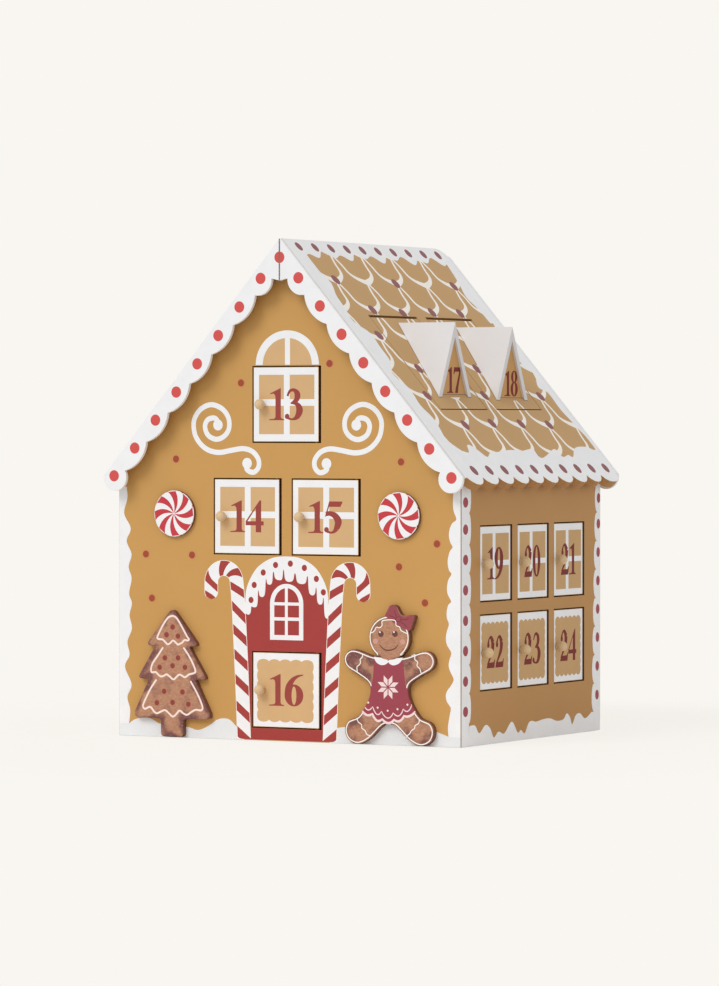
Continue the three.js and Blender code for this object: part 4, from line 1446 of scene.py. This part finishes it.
def sweet_layers(x, y):
    """A peppermint: eight curved stripes on white."""
    inner = SWEET_RADIUS - SWEET_RIM
    layers = [("icing_white", oval(x, y, inner, steps=64))]
    for k in range(8):
        first = 45 * k + STRIPE_FIRST
        edges = []
        for turn in (first, first + STRIPE_WIDE):
            edge = []
            for i in range(9):
                r = SWEET_CORE + (inner - SWEET_CORE) * i / 8
                t = math.radians(turn + SWIRL * (i / 8) ** 1.3)
                edge.append((x + r * math.cos(t), y + r * math.sin(t)))
            edges.append(edge)
        layers += [
            ("sweet_red", [edges[0][i], edges[0][i + 1], edges[1][i + 1], edges[1][i]])
            for i in range(8)
        ]
    return layers, oval(x, y, inner, steps=64)


for side, sign in (("left", -1), ("right", 1)):
    layers, outline = sweet_layers(sign * SWEET_X, SWEET_Y)
    drawing = flatten(layers, keep=[outline])
    piece = slab(
        f"peppermint_{side}", "front", drawing, GLUE_LINE, GLUE_LINE + SWEET_SHEET, "house",
        "laser_edge", SWEET_RIM,
    )  # fmt: skip
    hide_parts(f"candy_disc_{side}")

# %% [markdown]
# ## Cookies
# Tree and girl are 5 mm board with a printed picture of baked dough: reddish brown,
# darker towards the rim, with a fine crumb. Distance from the rim is stored on the
# points of the mesh, and the colour reads it, so the shading follows any outline.

# %% Cookie dough
CRUMB_MM, STREAK_MM, BLOTCH_MM = 1.1, 2.4, 11
COOKIE_SHEET, COOKIE_RIM, SPREAD = 5.0, 0.5, 2.4
GIRL_X, GIRL_FOOT, HEAD_HIGH = 97.7, 0.4, 86.3
FACE = FACES["front"] @ Vector((GIRL_X, GIRL_FOOT + HEAD_HIGH, COOKIE_SHEET))
FACE_EVEN = (14, 20)  # mm from its middle: the even colour passes into blotches there
material, tree, place, _ = new_material("cookie_dough_print")
rim = add(tree, "Attribute", attribute_name="rim").outputs["Fac"]
crumb = add(tree, "TexNoise", {"Vector": place, "Scale": 1 / (CRUMB_MM * MM), "Detail": 5.0})
patches = add(tree, "TexNoise", {"Vector": place, "Scale": 1 / (BLOTCH_MM * MM), "Detail": 2.0})
drawn_out = add(tree, "VectorMath", {0: place, 1: (1.0, 1.0, 2.2)}, operation="MULTIPLY")
drawn_out = drawn_out.outputs[0]
streaks = add(tree, "TexNoise", {"Vector": drawn_out, "Scale": 1 / (STREAK_MM * MM), "Detail": 3.0})
blotches = add(tree, "MapRange", {0: patches.outputs[0], 1: 0.36, 2: 0.64}).outputs[0]
from_face = add(tree, "VectorMath", {0: place, 1: FACE}, operation="DISTANCE").outputs["Value"]
near, far = (distance * MM for distance in FACE_EVEN)
even = add(tree, "MapRange", {0: from_face, 1: near, 2: far, 3: 0.8, 4: 0.0}).outputs[0]
wide = add(tree, "Math", {0: rim, 1: blotches}, operation="ADD").outputs[0]
wide = add(tree, "Math", {0: wide, 1: even}, operation="ADD").outputs[0]
baked = add(tree, "MapRange", {0: wide, 1: 0.35, 2: 1.4}, interpolation_type="SMOOTHSTEP")
dough = add(
    tree, "Mix", {0: baked.outputs[0], 6: linear("#70464a"), 7: linear("#bd8c6e")}, data_type="RGBA"
).outputs[2]
grain = add(tree, "MapRange", {0: streaks.outputs[0], 1: 0.35, 2: 0.7, 3: 0.0, 4: 0.5})
dough = add(
    tree, "Mix", {0: grain.outputs[0], 6: dough, 7: linear("#865644")}, data_type="RGBA"
).outputs[2]
pale = add(tree, "MapRange", {0: crumb.outputs[0], 1: 0.56, 2: 0.72, 3: 0.0, 4: 0.45})
dough = add(
    tree, "Mix", {0: pale.outputs[0], 6: dough, 7: linear("#d3a27b")}, data_type="RGBA"
).outputs[2]
finish_surface(tree, dough, crumb.outputs[0], 0.05, 0.65, 0.3)
INKS["cookie_dough"] = material


def cookie(name, node, outline, layers, fade):
    """A cookie from its outline, with points spread inside it for the dark rim."""
    inner = shrunk(outline, COOKIE_RIM)
    xs, ys = [p[0] for p in inner], [p[1] for p in inner]
    spread = []
    y = min(ys)
    while y < max(ys):
        x = min(xs)
        while x < max(xs):
            if inside((x, y), inner):
                spread.append((x, y))
            x += SPREAD
        y += SPREAD
    drawing = flatten([("cookie_dough", inner), *layers], keep=[inner], loose=spread)
    piece = slab(
        name, "front", drawing, GLUE_LINE, GLUE_LINE + COOKIE_SHEET, "house",
        "laser_edge", COOKIE_RIM, rim_fade=fade,
    )  # fmt: skip
    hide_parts(node)
    print(name, len(drawing[1]), "triangles")


# %% [markdown]
# ### The tree
# Three tiers, each with an icing line that waves along its lower edge, and red sweets.

# %% Tree cookie
TREE_X, TREE_FOOT = -106.0, 0.8
TREE_HALF = [
    (10.7, 0, 3), (10.7, 14.8, 3), (38.4, 15.2, 7), (22.1, 47.3, 2), (33.4, 47.3, 4.5),
    (16.1, 74.5, 2), (25.4, 74.8, 5), (0, 106.1, 5),
]  # fmt: skip


def rounded(corners, x0, y0, steps=6):
    """A closed outline whose corners are rounded off by their third number."""
    shape = []
    for i, (x, y, r) in enumerate(corners):
        here = Vector((x, y))
        before = Vector(corners[i - 1][:2]) - here
        after = Vector(corners[(i + 1) % len(corners)][:2]) - here
        a, b = here + before.normalized() * r, here + after.normalized() * r
        for s in range(steps + 1):
            t = s / steps
            p = a * (1 - t) ** 2 + here * 2 * t * (1 - t) + b * t * t
            shape.append((x0 + p.x, y0 + p.y))
    return shape


TREE_TOP_ICING = [
    (-104.8, 100.2), (-102.2, 99.2), (-99.8, 96.6), (-96.2, 91.3), (-91.4, 83.7), (-89.5, 81.4),
    (-90.8, 80.3), (-93.8, 80.6), (-96.2, 78.4), (-99.8, 76.8), (-101.6, 77.8), (-104.8, 80),
    (-107.6, 77.7), (-110, 76.8), (-111.8, 78.1), (-114.8, 80.6), (-117.8, 80.8), (-120, 81.7),
    (-119, 84.6), (-114.8, 92), (-110, 98.4), (-107.2, 99.8),
]  # fmt: skip
TREE_MIDDLE_ICING = [
    (-114.8, 73.6), (-119.6, 67.1), (-124.5, 60.8), (-126.1, 55.6), (-125.1, 53.3),
    (-121.5, 53.6), (-119.1, 51.6), (-116.6, 50.1), (-113.6, 50.7), (-111.2, 52), (-108.2, 50.4),
    (-104.6, 47.9), (-101.6, 50), (-98.8, 52.1), (-96.2, 51.2), (-93.2, 50), (-89.6, 52.4),
    (-84.5, 53.7), (-83.4, 55.6), (-85.4, 60.7), (-89.6, 67.8), (-94.4, 73.9),
]  # fmt: skip
TREE_FOOT_ICING = [
    (-121.2, 46.9), (-126.3, 40.1), (-131.1, 31.7), (-133.6, 26.5), (-133.6, 24.2),
    (-131.8, 22.9), (-128.1, 24.5), (-125.7, 24.1), (-123.3, 21.1), (-120.3, 19.6),
    (-116.1, 21.3), (-112.4, 22.4), (-108.8, 19.9), (-104.9, 17.2), (-101, 20.2), (-98.6, 22.5),
    (-95, 20.3), (-91.4, 19.1), (-87.2, 21.6), (-83, 23.6), (-78.3, 23.1), (-76.5, 25),
    (-77.7, 29.1), (-81.8, 37.2), (-87.8, 46.5),
]  # fmt: skip
TREE_SWEETS = [
    (-105.2, 91.1), (-111.1, 84.6), (-100, 83.7), (-112.7, 65.5), (-100, 65.8), (-117.7, 57.6),
    (-105.3, 59.2), (-93.4, 58.2), (-113.4, 37.9), (-95.8, 37.8), (-120.4, 28.3), (-105.3, 29),
    (-90.2, 27.9),
]  # fmt: skip
PIPED = 1.6  # width of a piped line
tree_corners = TREE_HALF + other_half(TREE_HALF[:-1])
tree_outline = rounded(tree_corners, TREE_X, TREE_FOOT)
layers = []
top_line = curve(TREE_TOP_ICING, 3, closed=True)
for line in ([*top_line, top_line[0]], curve(TREE_MIDDLE_ICING, 3), curve(TREE_FOOT_ICING, 3)):
    layers += inked("icing_pink", round_stroke(line, PIPED))
for ink, radius in (("sweet_halo", 2.9), ("sweet_plum", 2.2)):
    layers += [(ink, oval(x, y, radius, steps=16)) for x, y in TREE_SWEETS]
cookie("tree_cookie", "cookie_tree", tree_outline, layers, 7)

# %% [markdown]
# ### The girl
# A gingerbread figure in a plum dress. Everything on her is flat print, apart from the
# outline, which the laser cut round the picture.

# %% Girl cookie
BODY_HALF = [
    (0, 16.5), (6.4, 15.1), (18.3, 4.3), (28.5, 0), (37.4, 3.2), (40.7, 11), (37.7, 18.3),
    (29.3, 21.8), (24.7, 26.5), (19.5, 35), (17.2, 43), (19.2, 49.8), (29.3, 56.4),
    (38.6, 61.8), (41.4, 68.4), (38.2, 74.2), (30.5, 75.8), (11.9, 70.5),
]  # fmt: skip
HEAD_ACROSS, HEAD_TALL = 18.6, 17.6
BOW = [
    (-4.5, 103.5, 1), (0.5, 112.8, 2.5), (6.3, 112.6, 2.5), (11, 104, 3), (24.2, 105, 3),
    (19.5, 91.2, 3), (8, 95, 1),
]  # fmt: skip
body_ring = BODY_HALF + other_half(BODY_HALF[1:])
body_shape = moved(curve(body_ring, 5, closed=True), GIRL_X, GIRL_FOOT)
head_shape = oval(GIRL_X, GIRL_FOOT + HEAD_HIGH, HEAD_ACROSS, HEAD_TALL, 40)
bow_shape = rounded(BOW, GIRL_X, GIRL_FOOT)


def union_outline(shapes):
    """The outer line round some overlapping shapes."""
    points, kept = flatten([("icing_white", shape) for shape in shapes])
    border, _ = outer_normals(points, kept)
    following = dict(border)
    first = min(following)
    loop, v = [first], following[first]
    while v != first:
        loop.append(v)
        v = following[v]
    return [points[v] for v in loop]


girl_outline = union_outline([body_shape, head_shape, bow_shape])
GIRL_ICING = 0.95


def scallops(cusps, bottoms, steps=6):
    """A line of round lobes that hang between cusps."""
    line = [cusps[0]]
    for a, low, b in zip(cusps, bottoms, cusps[1:]):
        pull = [2 * low[k] - (a[k] + b[k]) / 2 for k in (0, 1)]
        for s in range(1, steps + 1):
            t = s / steps
            weights = ((1 - t) ** 2, 2 * t * (1 - t), t * t)
            line.append(weighted(weights, (a, pull, b)))
    return line


head = (GIRL_X, GIRL_FOOT + HEAD_HIGH)
body_line = shrunk(body_shape, 1.3)
layers = inked("icing_cream", stroke([*body_line, body_line[0]], GIRL_ICING))
head_round = (HEAD_ACROSS - 1.2, HEAD_TALL - 1.2)
layers.append(("cookie_dough", oval(*head, *head_round, 40)))

# The dress reaches the outline below the waist. Its hem is a row of lobes.
HEM_CUSPS = [(73, 27.2), (82.4, 25), (91.4, 21), (102.2, 20.8), (111.4, 24.2), (122, 28.2)]
HEM_BOTTOMS = [(77.5, 23.9), (86.7, 19.7), (97, 18), (107.3, 19.9), (116.4, 24.2)]
hem = scallops(HEM_CUSPS, HEM_BOTTOMS)
dress = [
    *hem, (123.5, 31), (119.6, 36), (116.5, 43), (113.2, 47.5), (111.9, 55.5), (110.5, 67),
    (109, 71), (84.4, 71), (83.9, 67.4), (83, 54.8), (81.6, 47.7), (78.4, 43), (76, 36),
    (71.5, 31),
]  # fmt: skip
layers.append(("dress_plum", dress))
layers += inked("hem_pink", round_stroke(hem, 1.9))
LACE_CUSPS = [
    (75.2, 30.9), (82.7, 30.8), (90.7, 27.3), (101.6, 26.3), (110.7, 29.6), (118.1, 32.1),
]  # fmt: skip
LACE_BOTTOMS = [(78.7, 28), (86.7, 24.7), (96.5, 22), (106.7, 24.1), (114.7, 28)]
layers += inked("hem_pink", round_stroke(scallops(LACE_CUSPS, LACE_BOTTOMS), 0.9))
HEM_DOTS = [(78.7, 34), (87.3, 30.2), (96.5, 28), (105.4, 29.5), (114.5, 33.3)]
layers += [("hem_pink", oval(x, y, 0.9, steps=10)) for x, y in HEM_DOTS]
COLLAR_LEFT = [(84.4, 71), (85.4, 67.6), (88, 65.4), (91.3, 64.5), (95, 65.4), (97, 68), (92, 71)]
COLLAR_RIGHT = [
    (97, 68), (98.6, 65.6), (101.6, 64.6), (105.6, 65.6), (108.6, 68), (109.7, 71), (102, 71),
]  # fmt: skip
for lobe in (COLLAR_LEFT, COLLAR_RIGHT):
    layers.append(("icing_white", curve(lobe, 4, closed=True)))
layers.append(("cookie_dough", arc(*head, HEAD_ACROSS - 1, HEAD_TALL + 0.3, 222, 318, 14)))
head_line = [(107.8, 71), *arc(*head, *head_round, -52, 232, 46), (87.5, 71)]
layers += inked("icing_cream", round_stroke(head_line, GIRL_ICING))
HAIR = [
    (80.8, 90.4), (82.7, 90.7), (84.7, 92.5), (86.1, 94.9), (89, 94.6), (91.3, 96.4),
    (91.3, 99.9), (94.7, 100.8), (99.3, 101.1), (103.6, 100.3), (104.1, 96.7), (107.3, 95.5),
    (108.4, 93), (111.8, 91.3), (114.8, 90.2),
]  # fmt: skip
fringe = curve(HAIR, 3)
hair_top = arc(*head, HEAD_ACROSS - 1.8, HEAD_TALL - 1.8, 14, 166, 20)
layers.append(("hair_brown", [*fringe, *hair_top]))

# A snowflake of eight lozenges
FLAKE_X, FLAKE_Y, FLAKE_SIDE, FLAKE_GAP = 96.8, 46.9, 6.2, 0.8  # the last is a share
FLAKE_SPREAD = (1 - FLAKE_GAP) / 2
for k in range(8):
    turns = [math.radians(45 * i) for i in (k, k + 1)]
    (ax, ay), (bx, by) = ((FLAKE_SIDE * math.cos(t), FLAKE_SIDE * math.sin(t)) for t in turns)
    corners = [(0, 0), (ax, ay), (ax + bx, ay + by), (bx, by)]
    x, y = FLAKE_X + (ax + bx) * FLAKE_SPREAD, FLAKE_Y + (ay + by) * FLAKE_SPREAD
    layers.append(("hem_pink", moved(corners, x, y, FLAKE_GAP, FLAKE_GAP)))

# %% [markdown]
# Her face is a few simple shapes: round eyes with a light, blushed cheeks and a smile.
# Zigzags of icing edge the hair, cuffs and socks.

# %% Face and trimmings
bow_print = shrunk(bow_shape, 0.6)
layers.append(("bow_plum", bow_print))
BOW_FOLDS = [
    [(102.6, 108.6), (103.4, 106), (104.6, 104.2)],
    [(98.2, 104.4), (100.8, 103.6), (103.4, 102.6)],
    [(109, 101.6), (112.4, 101.4), (115.6, 102.2)],
    [(108.6, 99.2), (111.6, 97.8), (113.8, 95.6)],
]
for line in BOW_FOLDS:
    layers += inked("bow_fold", round_stroke(curve(line, 3), 0.7))
layers.append(("bow_fold", oval(106.2, 101.6, 2.7, 2.5, 16)))
layers.append(("bow_plum", oval(106.2, 101.8, 2.0, 1.9, 16)))
for x, y in ((90.3, 89.6), (103.1, 89.9)):
    layers.append(("eye_brown", oval(x, y, 2.6, 2.5, 20)))
    layers.append(("icing_white", oval(x - 0.9, y + 1.4, 0.8, 0.7, 10)))
for x in (85.3, 110.1):
    layers.append(("blush_pink", oval(x, 83.6, 2.4, 2.2, 16)))
SMILE = [(89, 81.1, 0.7), (92.4, 77.7, 1), (97.2, 76.5, 1.2), (102.7, 77.9, 1), (105.9, 80.9, 0.7)]
layers += inked("eye_brown", stroke(curve(SMILE, 4)))
TRIMMINGS = [
    HAIR,
    [
        (73.5, 73.2), (73.2, 70.6), (71.2, 68.6), (71.6, 66.1), (70.1, 64), (68.3, 62.5),
        (68.6, 58.9),
    ],
    [(121.5, 73.3), (121.2, 69.8), (123.8, 67.8), (123.2, 64.8), (125.7, 62.4), (127, 58.8)],
    [(68.3, 21.1), (69.5, 18.1), (72.4, 16.2), (72.9, 13.2), (75.8, 11.3), (77.5, 8.3), (81, 7.4)],
    [
        (125.3, 21), (124.6, 18.6), (121.5, 16.7), (121, 14.5), (118.1, 12.6), (116.4, 10),
        (113.4, 8),
    ],
]  # fmt: skip
for line in TRIMMINGS:
    layers += inked("icing_cream", round_stroke(curve(line, 3), 0.8))
cookie("girl_cookie", "cookie_girl", girl_outline, layers, 11)

# %% [markdown]
# ## Knobs
# Turned beech: a ball of 8.6 mm on a short foot. A lathe makes one by turning a bar
# while a tool shapes its profile, and the mesh is made in the same way, by turning a
# profile round the axis. Beech is pale, with fine flecks along the bar.

# %% Turned beech
FLECK_MM = 0.35
material, tree, place, _ = new_material("turned_beech")
along_bar = add(tree, "VectorMath", {0: place, 1: (1.0, 0.25, 0.25)}, operation="MULTIPLY")
fleck = add(
    tree, "TexNoise", {"Vector": along_bar.outputs[0], "Scale": 1 / (FLECK_MM * MM), "Detail": 4.0}
)
wood = add(
    tree, "Mix", {0: fleck.outputs[0], 6: linear("#c39f72"), 7: linear("#efd5aa")}, data_type="RGBA"
).outputs[2]
finish_surface(tree, wood, fleck.outputs[0], 0.03, 0.5, 0.4)
turned_beech = material

KNOB_RADIUS, KNOB_CENTRE, KNOB_FOOT, PEG_RADIUS, PEG_LONG = 4.3, 5.2, 2.4, 1.6, 3.0
KNOB_STEPS = 32


def knob_profile():
    """Radius and height, from the peg's end to the top of the ball."""
    profile = [(PEG_RADIUS, -PEG_LONG), (PEG_RADIUS, 0.3), (KNOB_FOOT - 0.2, 0.3), (KNOB_FOOT, 0.6)]
    ball = arc(0, KNOB_CENTRE, KNOB_RADIUS, KNOB_RADIUS, -52, 90, 14)
    return profile + [(max(r, 0.0), z) for r, z in ball[:-1]]


def turned_knob(number):
    """Turns one knob with its peg, and sets it on its door."""
    side = DOOR_SIDES[number]
    low, high = (FACES[side].inverted() @ Vector(c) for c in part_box(f"knob_{number}"))
    x, y = (low.x + high.x) / 2, (low.y + high.y) / 2
    profile = [(radius, z - DOOR_SET_BACK) for radius, z in knob_profile()]
    vertices = []
    for radius, z in profile:
        for k in range(KNOB_STEPS):
            turn = 2 * math.pi * k / KNOB_STEPS
            vertices.append((x + radius * math.cos(turn), y + radius * math.sin(turn), z))
    top = len(vertices)
    ends = (KNOB_CENTRE + KNOB_RADIUS, -PEG_LONG)
    vertices += [(x, y, z - DOOR_SET_BACK) for z in ends]
    polygons = []
    for row in range(len(profile) - 1):
        for k in range(KNOB_STEPS):
            a, b = row * KNOB_STEPS + k, row * KNOB_STEPS + (k + 1) % KNOB_STEPS
            polygons.append([a, b, b + KNOB_STEPS, a + KNOB_STEPS])
    last = (len(profile) - 1) * KNOB_STEPS
    for k in range(KNOB_STEPS):
        polygons.append([last + k, last + (k + 1) % KNOB_STEPS, top])
        polygons.append([(k + 1) % KNOB_STEPS, k, top + 1])
    mesh = bpy.data.meshes.new(f"turned_knob_{number}")
    mesh.from_pydata([FACES[side] @ Vector(v) for v in vertices], [], polygons)
    mesh.materials.append(turned_beech)
    mesh.shade_smooth()
    knob = placed(f"turned_knob_{number}", mesh)
    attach(knob, f"door_{number}")
    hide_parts(f"knob_{number}")


for number in DOOR_SIDES:
    turned_knob(number)
print(len(DOOR_SIDES), "knobs turned")

# %% [markdown]
# ## Floor
# A plain pale floor catches a soft shadow. It fades out before the camera sees its end,
# so the background has no horizon line.

# %% Floor
BACKDROP = "#f9f6f1"
FADE_START, FADE_END = 0.42, 0.62  # metres from the middle
FLOOR_HALF, FLOOR_HEIGHT = 0.7, -0.0004  # metres; it lies just below the walls' feet
mesh = bpy.data.meshes.new("floor")
corners = rectangle(-FLOOR_HALF, FLOOR_HALF, -FLOOR_HALF, FLOOR_HALF)
mesh.from_pydata([(x, y, FLOOR_HEIGHT) for x, y in corners], [], [[0, 1, 2, 3]])
floor = placed("floor", mesh)

material, tree, place, _ = new_material("pale_floor")
distance = add(tree, "VectorMath", {0: place}, operation="LENGTH").outputs["Value"]
fade = add(
    tree, "MapRange", {0: distance, 1: FADE_START, 2: FADE_END}, interpolation_type="SMOOTHSTEP"
)
lit = add(tree, "BsdfDiffuse", {"Color": shade(BACKDROP, 0.16)})
glow = add(tree, "Emission", {"Color": linear(BACKDROP), "Strength": 0.84})
both_ways = add(tree, "AddShader", {0: lit.outputs[0], 1: glow.outputs[0]})
plain = add(tree, "BsdfDiffuse", {"Color": linear(BACKDROP)})
to_camera = add(tree, "LightPath").outputs["Is Camera Ray"]
seen = add(tree, "MixShader", {0: to_camera, 1: plain.outputs[0], 2: both_ways.outputs[0]})
gone = add(tree, "BsdfTransparent")
whole = add(tree, "MixShader", {0: fade.outputs[0], 1: seen.outputs[0], 2: gone.outputs[0]})
add(tree, "OutputMaterial", {"Surface": whole.outputs[0]})
floor.data.materials.append(material)

# %% [markdown]
# ## Light
# A large soft key from the front left, and even light from all round. The front wall
# gets both, the right wall only the even light, so the corner of the house reads.

# %% Light
world = bpy.data.worlds.new("studio")
bpy.context.scene.world = world
world.use_nodes = True
tree = world.node_tree
tree.nodes.clear()
path = add(tree, "LightPath")
seen = path.outputs["Is Camera Ray"]
for ray in ("Is Glossy Ray", "Is Transmission Ray"):
    seen = add(tree, "Math", {0: seen, 1: path.outputs[ray]}, operation="MAXIMUM").outputs[0]
even = add(tree, "Background", {"Color": linear("#ffffff"), "Strength": 0.7})
backdrop = add(tree, "Background", {"Color": linear(BACKDROP), "Strength": 1.0})
mix = add(tree, "MixShader", {0: seen, 1: even.outputs[0], 2: backdrop.outputs[0]})
add(tree, "OutputWorld", {"Surface": mix.outputs[0]})

key = bpy.data.lights.new("key", "SUN")
key.energy = 1.18
key.angle = math.radians(30)
key_object = placed("key", key)
key_object.rotation_euler = Vector((-0.25, -0.8, 0.80)).to_track_quat("Z", "Y").to_euler()

# %% [markdown]
# ## Camera
# A long lens from 4 m away, at the height of the house's middle, turned 29 degrees
# towards the right wall.

# %% Camera
camera = bpy.data.cameras.new("camera")
camera.lens = 175.14
camera.sensor_width = 36
camera_object = placed("camera", camera)
camera_object.location = (1.9395, -3.51585, 0.2599)
target = Vector((-0.0012, -0.00595, 0.2005))
camera_object.rotation_euler = (target - camera_object.location).to_track_quat("-Z", "Y").to_euler()
bpy.context.scene.camera = camera_object
bpy.context.scene.view_settings.view_transform = "Standard"
